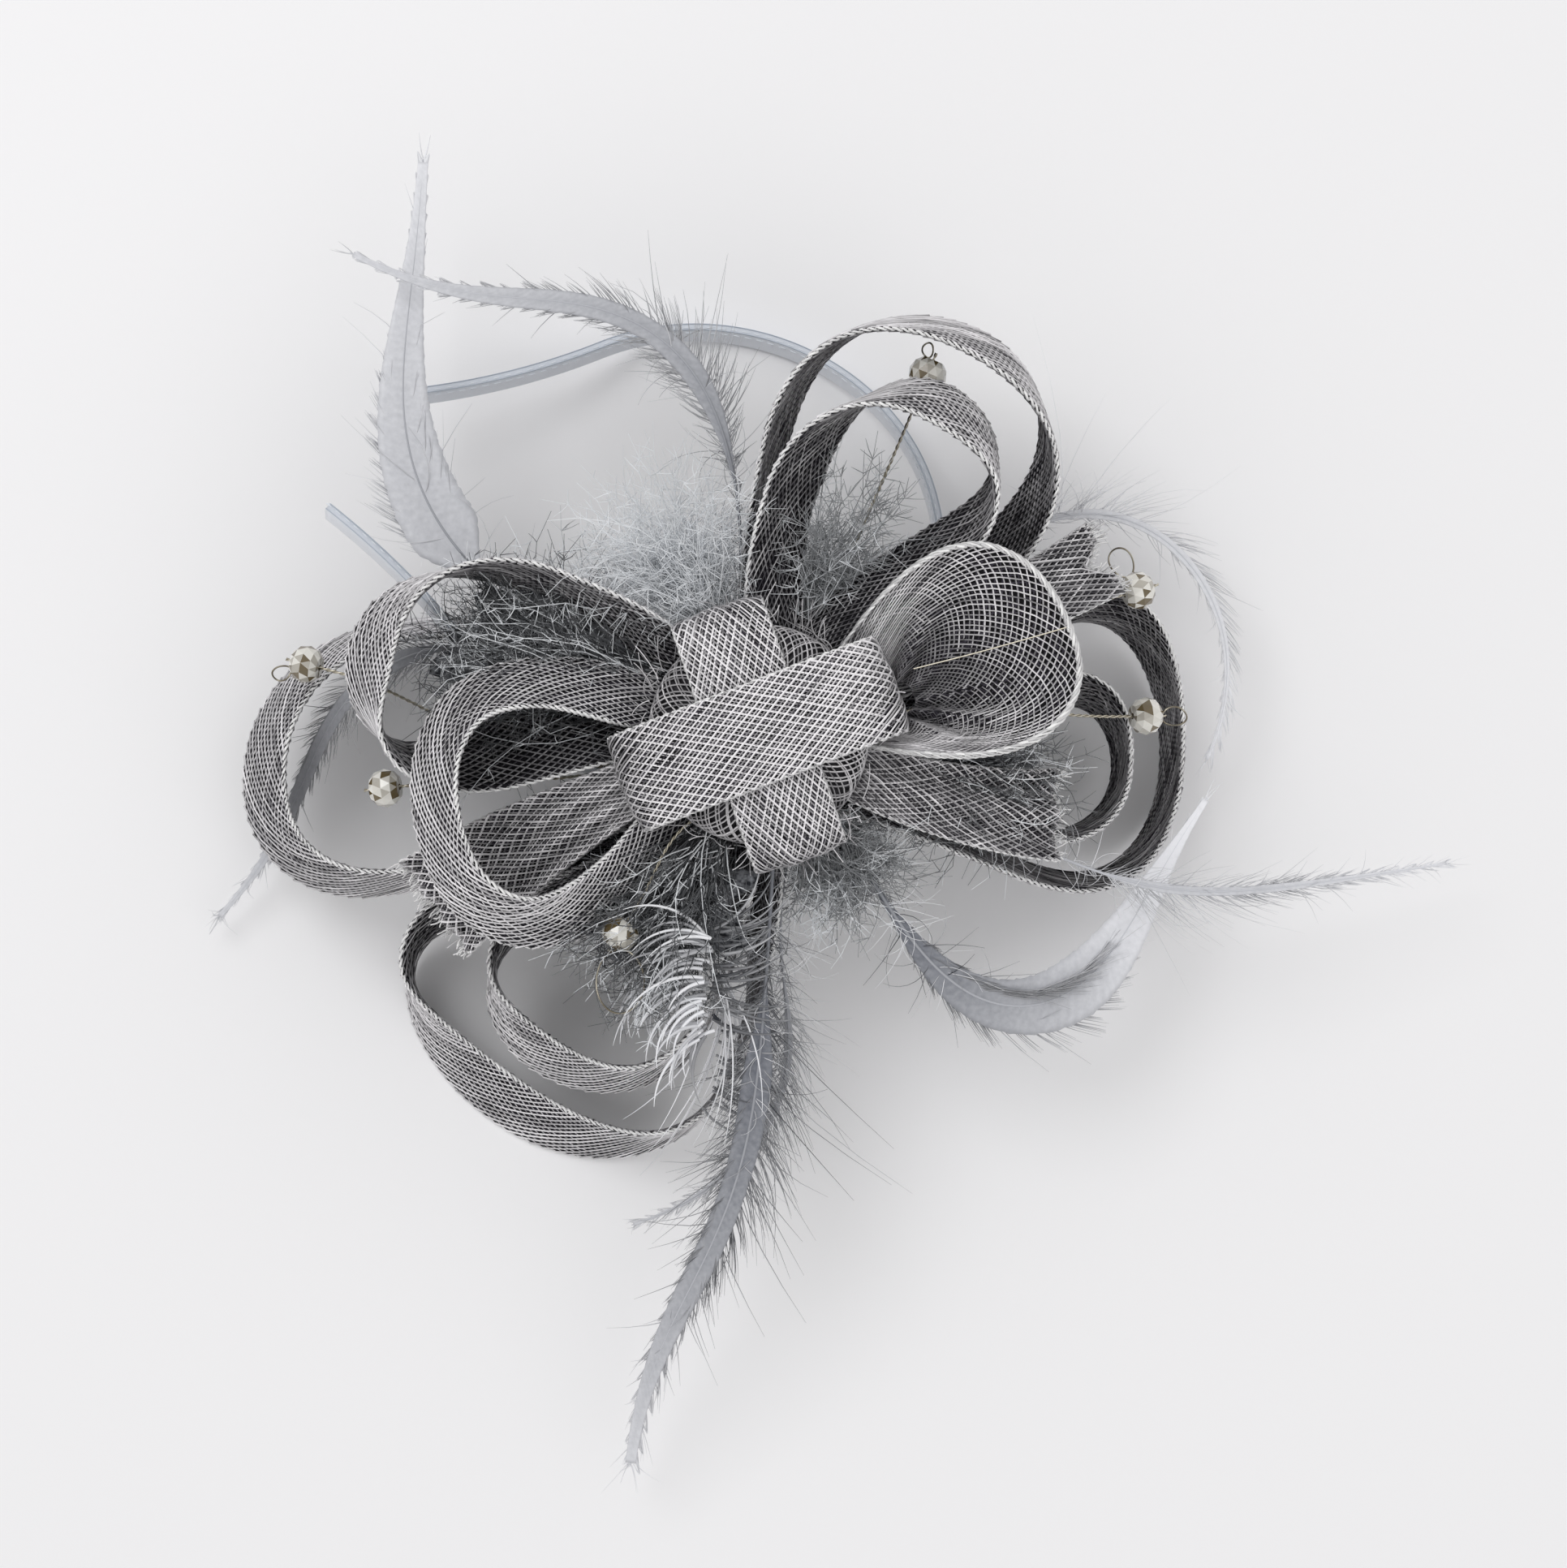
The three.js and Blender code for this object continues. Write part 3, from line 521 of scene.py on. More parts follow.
class Sweep:
    """Sweeps lines with a round section as thick as each point's girth."""

    tree: ClassVar[bpy.types.NodeTree | None] = None

    @classmethod
    def make_tree(cls) -> bpy.types.NodeTree:
        """The tree, made once: lines to curves, a round profile along them, closed ends."""
        if cls.tree is None:
            tree = tree_with(
                "sweep_strands",
                {
                    "Unit": "NodeSocketFloat",
                    "Sides": "NodeSocketInt",
                    "Finish": "NodeSocketMaterial",
                },
            )
            source = add_node(tree, "NodeGroupInput").outputs
            curve = add_node(tree, "GeometryNodeMeshToCurve", links={"Mesh": source["Geometry"]})
            girth = add_node(tree, "GeometryNodeInputNamedAttribute", {"Name": "girth"})
            round_section = add_node(
                tree,
                "GeometryNodeCurvePrimitiveCircle",
                links={"Resolution": source["Sides"], "Radius": source["Unit"]},
            )
            swept = add_node(
                tree,
                "GeometryNodeCurveToMesh",
                {"Fill Caps": True},
                {
                    "Curve": curve.outputs[0],
                    "Profile Curve": round_section.outputs[0],
                    "Scale": girth.outputs[0],
                },
            )
            end_tree(tree, swept.outputs[0], source["Finish"])
            cls.tree = tree
        return cls.tree

    @classmethod
    def make(cls, name: str, strands: Strands, finish: Finish, sides: int = 3) -> bpy.types.Object:
        """The swept strands as one object.

        Args:
            name: The object's name.
            strands: The lines with their girths and tones.
            finish: What they are made of.
            sides: Sides of the section.

        Returns:
            The object, with smooth faces.
        """
        sizes = {"Unit": 0.001, "Sides": sides, "Finish": finish.material()}
        made = grown(name, strands.mesh(name), cls.make_tree(), sizes)
        made.data.polygons.foreach_set("use_smooth", np.ones(len(made.data.polygons), bool))
        return made


class Stitches:
    """Sets equal stitches along a line, each lying along it."""

    tree: ClassVar[bpy.types.NodeTree | None] = None

    @classmethod
    def make_tree(cls) -> bpy.types.NodeTree:
        """The tree, made once: even points on the line, and a stitch on each."""
        if cls.tree is None:
            tree = tree_with(
                "row_of_stitches",
                {
                    "Spacing": "NodeSocketFloat",
                    "Stitch": "NodeSocketVector",
                    "Finish": "NodeSocketMaterial",
                },
            )
            source = add_node(tree, "NodeGroupInput").outputs
            curve = add_node(tree, "GeometryNodeMeshToCurve", links={"Mesh": source["Geometry"]})
            even = add_node(
                tree,
                "GeometryNodeResampleCurve",
                {"mode": "LENGTH"},
                {"Curve": curve.outputs[0], "Length": source["Spacing"]},
            )
            tangent = add_node(tree, "GeometryNodeInputTangent")
            turned = add_node(
                tree,
                "FunctionNodeAlignRotationToVector",
                {"axis": "Z"},
                {"Vector": tangent.outputs[0]},
            )
            stitch = add_node(
                tree, "GeometryNodeMeshUVSphere", {"Segments": 6, "Rings": 4, "Radius": 1.0}
            )
            placed = add_node(
                tree,
                "GeometryNodeInstanceOnPoints",
                links={
                    "Points": even.outputs[0],
                    "Instance": stitch.outputs[0],
                    "Rotation": turned.outputs[0],
                    "Scale": source["Stitch"],
                },
            )
            end_tree(tree, placed.outputs[0], source["Finish"])
            cls.tree = tree
        return cls.tree

    @classmethod
    def make(
        cls, name: str, line: Array, spacing: float, length: float, width: float
    ) -> bpy.types.Object:
        """A row of stitches.

        Args:
            name: The object's name.
            line: The points that the row follows.
            spacing: Distance from stitch to stitch.
            length: A stitch's length.
            width: A stitch's width.

        Returns:
            The object.
        """
        row = Strands()
        row.add(line, 1.0, 0.8)
        sizes = {
            "Spacing": spacing / 1000,
            "Stitch": (width / 2000, width / 2000, length / 2000),
            "Finish": THREAD.material(),
        }
        return grown(name, row.mesh(name), cls.make_tree(), sizes)


def solid_mesh(
    name: str,
    points: Array,
    faces: list[tuple[int, ...]] | Array,
    finish: Finish,
    marks: dict[str, Array] | None = None,
    rounded: bool = True,
) -> bpy.types.Object:
    """A closed mesh whose faces point out.

    Args:
        name: The object's name.
        points: Corners in the cluster's frame.
        faces: Corner numbers of each face.
        finish: What it is made of.
        marks: Attributes that the finish reads, one row for each corner or for each face.
        rounded: True for smooth shading.

    Returns:
        The object.
    """
    spots = PLACE.in_part(points)
    faces = [tuple(int(i) for i in face) for face in faces]
    centre = spots.mean(0)
    volume = 0.0
    for face in faces:
        a = spots[face[0]] - centre
        for i in range(1, len(face) - 1):
            volume += float(a @ np.cross(spots[face[i]] - centre, spots[face[i + 1]] - centre))
    if volume < 0:
        faces = [face[::-1] for face in faces]
    mesh = bpy.data.meshes.new(name)
    mesh.from_pydata([tuple(p) for p in spots], [], faces)
    for key, rows in (marks or {}).items():
        kind, slot = ("FLOAT", "value") if rows.ndim == 1 else ("FLOAT_VECTOR", "vector")
        domain = "POINT" if len(rows) == len(points) else "FACE"
        mesh.attributes.new(key, kind, domain).data.foreach_set(slot, rows.ravel())
    mesh.materials.append(finish.material())
    mesh.polygons.foreach_set("use_smooth", np.full(len(mesh.polygons), rounded))
    mesh.update()
    made = bpy.data.objects.new(name, mesh)
    bpy.context.scene.collection.objects.link(made)
    return made


def tube_faces(rings: int, sides: int) -> list[tuple[int, ...]]:
    """The faces of a tube of rings, with both ends closed."""
    index = np.arange(rings * sides).reshape(rings, sides)
    after = np.roll(index, -1, axis=1)
    walls = np.stack([index[:-1], after[:-1], after[1:], index[1:]], -1).reshape(-1, 4)
    return [*map(tuple, walls), tuple(index[0][::-1]), tuple(index[-1])]


def walked(root: Array, heading: Array, step: Array, rise: Array) -> Array:
    """Lines that walk on from their roots.

    Args:
        root: The first point of each line.
        heading: Heading of each step in radians, as lines by points.
        step: Length of each step as seen from above.
        rise: Rise of each step, as a share of its length.

    Returns:
        The lines, as lines by points by three.
    """
    moves = np.stack([np.cos(heading) * step, np.sin(heading) * step, rise * step], -1)
    moves[:, 0] = 0
    return root[:, None] + np.cumsum(moves, 1)


def sheet_mesh(
    name: str, front: Array, back: Array, finish: Finish, marks: dict[str, tuple[Array, Array]]
) -> bpy.types.Object:
    """A closed thin sheet from the grids of its two faces.

    Args:
        name: The object's name.
        front: Points of one face, as rows by columns by three.
        back: Points of the other face, in the same order.
        finish: What it is made of.
        marks: Attributes for the front and the back.

    Returns:
        The object.
    """
    rows, columns = front.shape[:2]
    index = np.arange(rows * columns).reshape(rows, columns)
    quads = np.stack([index[:-1, :-1], index[1:, :-1], index[1:, 1:], index[:-1, 1:]], -1)
    quads = quads.reshape(-1, 4)
    rim = np.concatenate([index[0, :-1], index[:-1, -1], index[-1, :0:-1], index[:0:-1, 0]])
    after = np.roll(rim, -1)
    offset = rows * columns
    walls = np.stack([rim, after, after + offset, rim + offset], -1)
    faces = np.concatenate([quads, quads[:, ::-1] + offset, walls])
    points = np.concatenate([front.reshape(-1, 3), back.reshape(-1, 3)])
    joined = {
        key: np.concatenate([a.reshape(offset, -1).squeeze(), b.reshape(offset, -1).squeeze()])
        for key, (a, b) in marks.items()
    }
    return solid_mesh(name, points, faces, finish, joined)


def fit(made: bpy.types.Object, slot: str, *nodes: str) -> bpy.types.Object:
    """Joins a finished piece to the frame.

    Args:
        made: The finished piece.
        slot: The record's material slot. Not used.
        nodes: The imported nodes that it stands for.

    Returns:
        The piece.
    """
    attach(made, "root")
    if nodes:
        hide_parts(*nodes)
    made.data.calc_loop_triangles()
    LOG.info("%s: %d triangles", made.name, len(made.data.loop_triangles))
    return made


@dataclass
class Track:
    """A strip's centre line with its axes and its half width, sampled along its length."""

    along: Array
    centre: Array
    wide: Array
    through: Array
    half: Array

    @classmethod
    def follow(cls, path: Path, lean: Path, half: Path, samples: int = 420) -> "Track":
        """Samples a strip.

        Args:
            path: The centre line by its share.
            lean: The turn of the strip about its line by its share.
            half: Half of its width by its share.
            samples: How many samples.

        Returns:
            The track.
        """
        share = np.linspace(0.0, 1.0, samples)
        centre = path(share)
        tangent = unit(path(np.minimum(share + 0.004, 1.0)) - path(np.maximum(share - 0.004, 0.0)))
        upright = unit(UP - tangent * (tangent @ UP)[:, None])
        outward = unit(np.cross(tangent, upright))
        angle = np.radians(lean(share))[:, None]
        wide = unit(upright * np.cos(angle) + outward * np.sin(angle))
        through = unit(np.cross(tangent, wide))
        return cls(lengths_to(centre), centre, wide, through, half(share))

    @property
    def length(self) -> float:
        """The centre line's length."""
        return float(self.along[-1])

    def read(self, rows: Array, along: Array) -> Array:
        """Sampled rows at any lengths along the line."""
        if rows.ndim == 1:
            return np.interp(along, self.along, rows)
        return read_rows(along, self.along, rows)


@dataclass
class NetStrip:
    """A strip of open net: a shade-painted inner layer, slanting threads on both faces and bound
    edges.
    """

    name: str
    slot: str = "net"
    # Cell and thread are set to the photograph. The thread's real girth isn't known.
    cell: float = 2.5
    across: int = 12
    thread: float = 0.21
    wall: float = 0.36
    # The inner face's tones are darker than the outer face's: painted shade on the side turned from
    # the light.
    outer_tones: Pair = (0.42, 0.95)
    inner_tones: Pair = (0.1, 0.45)
    layers: int = 1
    edge: float = 0.3
    seed: int = 1
    columns: int = 11
    pitch: float = 4.3
    # Shares of the points that catch the light or lie in a shadow, and what that does to them.
    glint: ClassVar[Pair] = (0.12, 0.35)
    shadow: ClassVar[Pair] = (0.1, -0.3)
    # Distance between the two slanting sets, and from one turn of the edges' twist to the next.
    set_apart: ClassVar[float] = 0.08
    twist: ClassVar[float] = 3.4

    @property
    def length(self) -> float:
        """The strip's length."""
        raise NotImplementedError

    def surface(self, along: Array, aside: Array, lift: Array | float) -> Array:
        """Points of the strip.

        Args:
            along: Lengths along the strip.
            aside: Places across it, -1 and 1 at its edges.
            lift: Distances from its middle layer.

        Returns:
            The points in the cluster's frame.
        """
        raise NotImplementedError

    def cut(self, along: Array, aside: Array) -> Array:
        """Lengths along the strip, held back to where its end is cut."""
        return np.clip(along, 0.0, self.length)

    def light_at(self, along: Array, aside: Array) -> Array:
        """How much of the light reaches places of the strip, 1 for all of it."""
        ends = smooth(np.minimum(along, self.length - along) / self.length, 0.0, 0.16)
        return 0.5 + 0.5 * ends

    def lay_net(
        self, strands: Strands, lift: float, tones: Pair, layer: int, rng: Random
    ) -> None:
        """Lays the two slanting sets of threads on one face.

        Args:
            strands: Where the threads are gathered.
            lift: The face's distance from the middle layer.
            tones: The darkest and lightest thread.
            layer: 0 for the face itself, 1 for the net seen through it.
            rng: Source of the small irregularities.
        """
        span = self.across * self.cell
        steps = round(span / self.pitch)
        shift = 0.55 * layer * self.cell
        girth = self.thread * (1 - 0.25 * layer)
        for slant in (1, -1):
            first = -span if slant > 0 else 0.0
            starts = np.arange(first, first + self.length + span, self.cell) + shift
            starts = starts + rng.normal(0, 0.035 * self.cell, len(starts))
            ends = np.sort(np.stack([-starts, self.length - starts]) / (slant * span), axis=0)
            low, high = np.clip(ends, 0.0, 1.0)
            keep = high - low > 0.05
            starts, low, high = starts[keep], low[keep], high[keep]
            part = low[:, None] + (high - low)[:, None] * np.linspace(0, 1, steps + 1)
            phase = rng.uniform(0, 6.28, (len(starts), 1))
            along = starts[:, None] + slant * span * part
            along = along + 0.1 * np.sin(part * 17 + phase)
            aside = 2 * part - 1
            tone = between(tones, rng.beta(0.9, 0.9, (len(starts), 1)))
            chance = rng.uniform(0, 1, part.shape)
            tone = tone + self.glint[1] * (chance > 1 - self.glint[0])
            tone = tone + self.shadow[1] * (chance < self.shadow[0])
            tone = tone * self.light_at(along, aside)
            apart = lift + self.set_apart * slant * np.sign(lift)
            points = self.surface(self.cut(along, aside), aside, apart)
            strands.add(points, girth * rng.uniform(0.8, 1.2, (len(starts), 1)), tone)

    def lay_edges(self, strands: Strands, rng: Random) -> None:
        """Lays a two-ply twist along both edges."""
        along = np.linspace(0.0, self.length, max(12, int(self.length / 0.8)))
        for side in (-1.0, 1.0):
            for ply in (0.0, math.pi):
                turn = 2 * math.pi * along / self.twist + ply
                aside = side * 0.985 + self.edge * np.cos(turn) / 10
                points = self.surface(self.cut(along, aside), aside, self.edge * np.sin(turn))
                # Painted light and shade: each ply is lighter as the twist brings it to the outer
                # face and darker as it turns under.
                tone = 0.72 + 0.2 * np.sin(turn + 1.0) + rng.normal(0, 0.06, len(along))
                strands.add(points, self.edge * 1.05, tone)

    def line(self) -> bpy.types.Object:
        """The inner layer, a closed sheet that the threads lie on."""
        rows = max(12, int(self.length / 2.8))
        along, aside = grid(
            np.linspace(0.0, self.length - 1.2, rows), np.linspace(-0.99, 0.99, self.columns)
        )
        along = self.cut(along, aside)
        weave = np.stack([aside * 10, along, np.zeros_like(along)], -1)
        # Painted shade: the lining's inner face is darker than its outer face.
        tones = (
            np.full(along.shape, np.mean(self.outer_tones) + 0.1),
            np.full(along.shape, np.mean(self.inner_tones)),
        )
        return sheet_mesh(
            f"{self.name}_lining",
            self.surface(along, aside, self.wall),
            self.surface(along, aside, -self.wall),
            LINING,
            {"weave": (weave, weave), "tone": tones},
        )

    def build(self) -> None:
        """Builds the strip's three pieces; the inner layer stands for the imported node."""
        rng = np.random.default_rng(self.seed)
        fit(self.line(), self.slot, self.name)
        net = Strands()
        face = self.wall + 0.12
        for layer in range(self.layers):
            dim = 0.75 * layer
            for lift, tones in ((face, self.outer_tones), (-face, self.inner_tones)):
                lit = (tones[0] - dim * tones[0], tones[1] - dim)
                self.lay_net(net, lift * (1 - 0.2 * layer), lit, layer, rng)
        fit(Sweep.make(f"{self.name}_net", net, NET_THREAD), self.slot)
        edges = Strands()
        self.lay_edges(edges, rng)
        fit(Sweep.make(f"{self.name}_edges", edges, BOUND_EDGE), self.slot)


@dataclass
class Ribbon(NetStrip):
    """A net strip that follows a track."""

    camber: float = 0.35
    track: Track | None = None

    @property
    def length(self) -> float:
        """The track's length."""
        return self.track.length

    def crease(self, along: Array, aside: Array) -> Array:
        """How far the strip stands off its middle layer by its own form."""
        return self.camber * (1 - aside * aside)

    def surface(self, along: Array, aside: Array, lift: Array | float) -> Array:
        """Points of the strip, as NetStrip.surface gives them."""
        centre = self.track.read(self.track.centre, along)
        wide = self.track.read(self.track.wide, along)
        through = self.track.read(self.track.through, along)
        half = self.track.read(self.track.half, along)
        stand = self.crease(along, aside) + lift
        return centre + wide * (aside * half)[..., None] + through * stand[..., None]


@dataclass(frozen=True)
class LoopRow:
    """One loop of ribbon, with the sizes that the part's source gives it."""

    name: str
    heading: float
    reach: float
    sides: Pair
    bellies: Pair
    turns: Pair
    heights: Triple
    arches: Pair
    lean: tuple[float, ...] = (0.0, 0.0)

    @staticmethod
    def belly(share: Array, power: float) -> Array:
        """How wide a loop stands at a share of its path, 1 at its widest."""

        def raw(place: Array | float) -> Array:
            """The belly before it is brought to 1."""
            return np.abs(np.sin(2 * np.pi * place)) * np.abs(np.sin(np.pi * place)) ** power

        return raw(share) / raw(math.acos(math.sqrt(1 / (3 + power))) / math.pi)

    def lean_at(self, share: Array) -> Array:
        """The strip's turn about its centre line, in degrees."""
        return at_stations(self.lean, share)

    def path(self, share: Array) -> Array:
        """The centre line, from the first root out to the tip and back to the second root.

        Args:
            share: Shares of the line.

        Returns:
            One point for each share.
        """
        share = np.asarray(share, float)
        far = np.sin(np.pi * share) ** 2
        going = share < 0.5
        right = -self.sides[0] * self.belly(share, self.bellies[0])
        left = self.sides[1] * self.belly(share, self.bellies[1])
        roots = [polar(turn, ROOT_RADIUS) for turn in self.turns]
        base = roots[0] + (roots[1] - roots[0]) * share[..., None]
        ahead, aside = polar(self.heading, 1.0), polar(self.heading + 90, 1.0)
        points = base * (1 - far)[..., None] + ahead * (self.reach * far)[..., None]
        points = points + aside * np.where(going, right, left)[..., None]
        low, high, tip = self.heights
        arch = np.where(going, self.arches[0], self.arches[1]) * 4 * far * (1 - far)
        points[..., 2] = (low + (high - low) * share) * (1 - far) + tip * far + arch
        return points


def gathered_half(share: Array) -> Array:
    """Half a loop's width: gathered narrow at its roots and full between them."""
    fullness = smooth(np.minimum(share, 1 - share), 0.0, 0.24)
    return between((ROOT_WIDTH, RIBBON_WIDTH), fullness) / 2


@dataclass
class Loops:
    """The nine ribbon loops."""

    rows: tuple[LoopRow, ...] = (
        LoopRow("loop_upper_left", 168, 81, (19, 19), (1, 2.4), (134, 178), (-5.5, -5.2, -4.5),
                (2, 1), (65, 16, -34, 48, 70)),
        LoopRow("loop_mid_left", 203, 66, (26, 17), (1, 1.2), (162, 231), (-2, -4.1, 16), (0, -7),
                (-70, -30, -32, -34, -78)),
        LoopRow("loop_far_left", 187, 106, (31, 19), (1, 2.4), (156, 246), (-13, -7.7, -32),
                (-18, -5), (-70, -12, -34, -8, 70)),
        LoopRow("loop_low_left_outer", 235, 97, (35, 33), (2.2, 1.2), (231, 275), (-14, -8, -52.2),
                (-3, -3), (30, 30, -38, 4, 65)),
        LoopRow("loop_low_left_inner", 235, 82, (20, 22), (2, 1.2), (247, 262), (-10.3, -12.8, -34),
                (-4, 3), (30, 24, -28, -6, 60)),
        LoopRow("loop_top_outer", 60, 92, (25, 27), (1.3, 1.3), (48, 92), (-12.5, -9, -8), (-8, -3),
                (60, 32, -22, 12, 65)),
        LoopRow("loop_top_inner", 61, 76, (18, 17), (2.6, 1), (58, 81), (-7, -3, 4), (-3, -3),
                (65, 35, -30, 28, 70)),
        LoopRow("loop_right_outer", -5, 90, (23, 33), (2, 1.5), (-44, 16), (-12, -8, -50.5), (0, 5),
                (60, 10, 6, 24, 65)),
        LoopRow("loop_right_inner", -6, 78, (13, 17), (2, 2.2), (-31, -11), (-8, -13.4, -39),
                (0, 0), (60, 5, 4, 28, 65)),
    )
    first_seed: int = 20

    def build(self) -> None:
        """Builds each loop."""
        for number, row in enumerate(self.rows):
            track = Track.follow(row.path, row.lean_at, gathered_half)
            Ribbon(row.name, seed=self.first_seed + number, track=track).build()


@dataclass
class Wrap(Ribbon):
    """A short wrap of net over the core, tucked down at both ends."""

    turn: float = 0.0
    layer: int = 0
    width: float = 20.0
    tuck: float = 9.5
    overhang: float = 2.8
    dome: float = 10.0
    thick: float = 1.2
    loft: float = 0.9
    # Powers under 1 flatten the round arch on top and at its sides.
    flat_top: float = 0.8
    flat_sides: float = 0.62

    def __post_init__(self) -> None:
        """Follows the wrap's path over the dome."""
        lift = CLEARANCE + self.thick / 2 + self.layer * (self.thick + CLEARANCE + self.loft)
        span = CORE_RADIUS + self.overhang + lift

        def path(share: Array) -> Array:
            """The wrap's centre line by its share."""
            angle = np.pi * (1 - np.asarray(share, float))
            flat = np.sign(np.cos(angle)) * np.abs(np.cos(angle)) ** self.flat_top
            fall = self.tuck * (1 - np.clip(np.sin(angle), 0, 1) ** self.flat_sides)
            points = polar(self.turn, 1.0) * (span * flat)[..., None]
            points[..., 2] = self.dome + lift - fall
            return points

        self.track = Track.follow(
            path, lambda share: 90 + 0 * share, lambda share: self.width / 2 + 0 * share
        )
        across = polar(self.turn + 90, 1.0)
        self.track.wide = np.broadcast_to(across, self.track.wide.shape)
        tangent = unit(np.gradient(self.track.centre, axis=0))
        self.track.through = unit(np.cross(tangent, across))

    def crease(self, along: Array, aside: Array) -> Array:
        """The wrap's crown with two soft pleats along it."""
        ends = 1 - np.sin(np.pi * along / self.length)
        return 0.9 * (1 - aside * aside) + 0.15 * ends * np.sin(aside * 9)


@dataclass
class Tail(Ribbon):
    """A cut tail of net, pleated lengthwise."""

    turn: float = 0.0
    heading: float = 0.0
    bend: float = 0.0
    run: float = 50.0
    root_z: float = 0.0
    droop: float = 5.0
    widths: Pair = (8.0, 20.0)
    folds: int = 1
    fold_depth: float = 1.0
    tilt: float = 0.0
    notch: float = 0.0
    fray: float = 2.4
    yarns: int = 90

    def __post_init__(self) -> None:
        """Follows the tail from the core to its cut end."""

        def path(share: Array) -> Array:
            """The tail's centre line by its share."""
            share = np.asarray(share, float)
            mean = np.radians(self.heading + self.bend * share / 2)
            reach = (self.run + 5) * share
            step = np.stack([np.cos(mean) * reach, np.sin(mean) * reach, np.zeros_like(share)], -1)
            points = polar(self.turn, ROOT_RADIUS, self.root_z) + step
            points[..., 2] -= self.droop * share**2 + np.sin(np.pi * share)
            return points

        def half(share: Array) -> Array:
            """Half the tail's width by its share."""
            return between(self.widths, share) / 2

        self.track = Track.follow(path, lambda share: 90 + self.tilt + 0 * share, half)

    def crease(self, along: Array, aside: Array) -> Array:
        """The lengthwise pleats, deeper towards the cut end."""
        opened = smooth(along / self.length, -0.2, 0.5)
        return self.fold_depth * opened * np.sin(np.pi * self.folds * (aside + 1) / 2) ** 2

    def cut(self, along: Array, aside: Array) -> Array:
        """Lengths along the tail, held back by the notch in its end."""
        end = self.length - np.clip(self.notch - 2 * self.notch * np.abs(aside), 0, None)
        return np.clip(along, 0.0, end)

    def light_at(self, along: Array, aside: Array) -> Array:
        """A tail is in shade only where it leaves the core."""
        return 0.5 + 0.5 * smooth(along / self.length, 0.0, 0.3)

    def lay_edges(self, strands: Strands, rng: Random) -> None:
        """Lays the bound edges, and the yarns that fray from the cut end."""
        super().lay_edges(strands, rng)
        count = self.yarns
        aside = rng.uniform(-0.98, 0.98, count)
        end = self.cut(np.full(count, self.length), aside)
        foot = self.surface(end, aside, 0.3)
        way = unit(foot - self.surface(end - 2.0, aside, 0.3)) + rng.normal(0, 0.3, (count, 3))
        part = np.linspace(0, 1, 4)[None, :, None]
        reach = rng.uniform(0.5, self.fray, (count, 1, 1))
        curl = rng.normal(0, 0.5, (count, 1, 3)) * part**2
        lines = foot[:, None] + way[:, None] * reach * part + curl
        strands.add(lines, 0.17, rng.uniform(0.5, 1.0, (count, 1)))


@dataclass
class Cup(NetStrip):
    """The cup of net whose mouth faces up, pleated where its wall closes on the core."""

    rim: LoopRow = LoopRow("net_cup", 15, 66, (15, 24), (1, 1), (-6, 44), (-1.5, -1.6, 10), (5, 5))
    apex: Triple = (12.0, 26.0, 0.0)
    closing: float = 0.84
    sag: float = 3.0
    pleats: int = 9
    pleat_depth: float = 1.5
    plies: int = 4
    roll_twist: float = 6.5
    roll_radius: float = 0.62
    roll_spread: float = 0.028
    samples: tuple[Array, Array] | None = None

    def __post_init__(self) -> None:
        """Measures the rim."""
        share = np.linspace(0.0, 1.0, 400)
        self.samples = (share, lengths_to(self.rim.path(share)))

    @property
    def length(self) -> float:
        """The rim's length."""
        return float(self.samples[1][-1])

    def wall_at(self, share: Array, depth: Array) -> Array:
        """The wall's middle layer.

        Args:
            share: Shares of the rim.
            depth: Shares of the way from the rim to the apex.

        Returns:
            The points in the cluster's frame.
        """
        rim = self.rim.path(share)
        points = rim + (polar(*self.apex) - rim) * (depth * self.closing)[..., None]
        points[..., 2] -= self.sag * np.sin(np.pi * depth) * np.sin(np.pi * share) ** 2
        return points

    def surface(self, along: Array, aside: Array, lift: Array | float) -> Array:
        """Points of the cup's wall; aside runs from its rim to its foot."""
        share = np.interp(along, self.samples[1], self.samples[0])
        depth = np.clip((aside + 1) / 2, 0.0, 1.0)
        small = 0.01
        before, after = np.maximum(share - small, 0), np.minimum(share + small, 1)
        above, below = np.maximum(depth - small, 0), np.minimum(depth + small, 1)
        ahead = self.wall_at(after, depth) - self.wall_at(before, depth)
        inward = self.wall_at(share, below) - self.wall_at(share, above)
        normal = unit(np.cross(ahead, inward))
        pleat = self.pleat_depth * smooth(depth, 0.1, 0.8) * np.sin(2 * np.pi * self.pleats * share)
        return self.wall_at(share, depth) + normal * (pleat + lift)[..., None]

    def light_at(self, along: Array, aside: Array) -> Array:
        """The cup darkens towards its foot."""
        return 1 - 0.75 * smooth((aside + 1) / 2, 0.25, 0.95)

    def lay_edges(self, strands: Strands, rng: Random) -> None:
        """Lays the rolled rim: a thick bright roll of plies round the mouth."""
        along = np.linspace(0.0, self.length, int(self.length / 0.7))
        for ply in range(self.plies):
            turn = 2 * math.pi * (along / self.roll_twist + ply / self.plies)
            aside = -0.99 + self.roll_spread * np.cos(turn)
            points = self.surface(along, aside, self.roll_radius * np.sin(turn))
            tone = 0.62 + 0.3 * (ply % 2) + rng.normal(0, 0.07, len(along))
            strands.add(points, 0.36, tone)


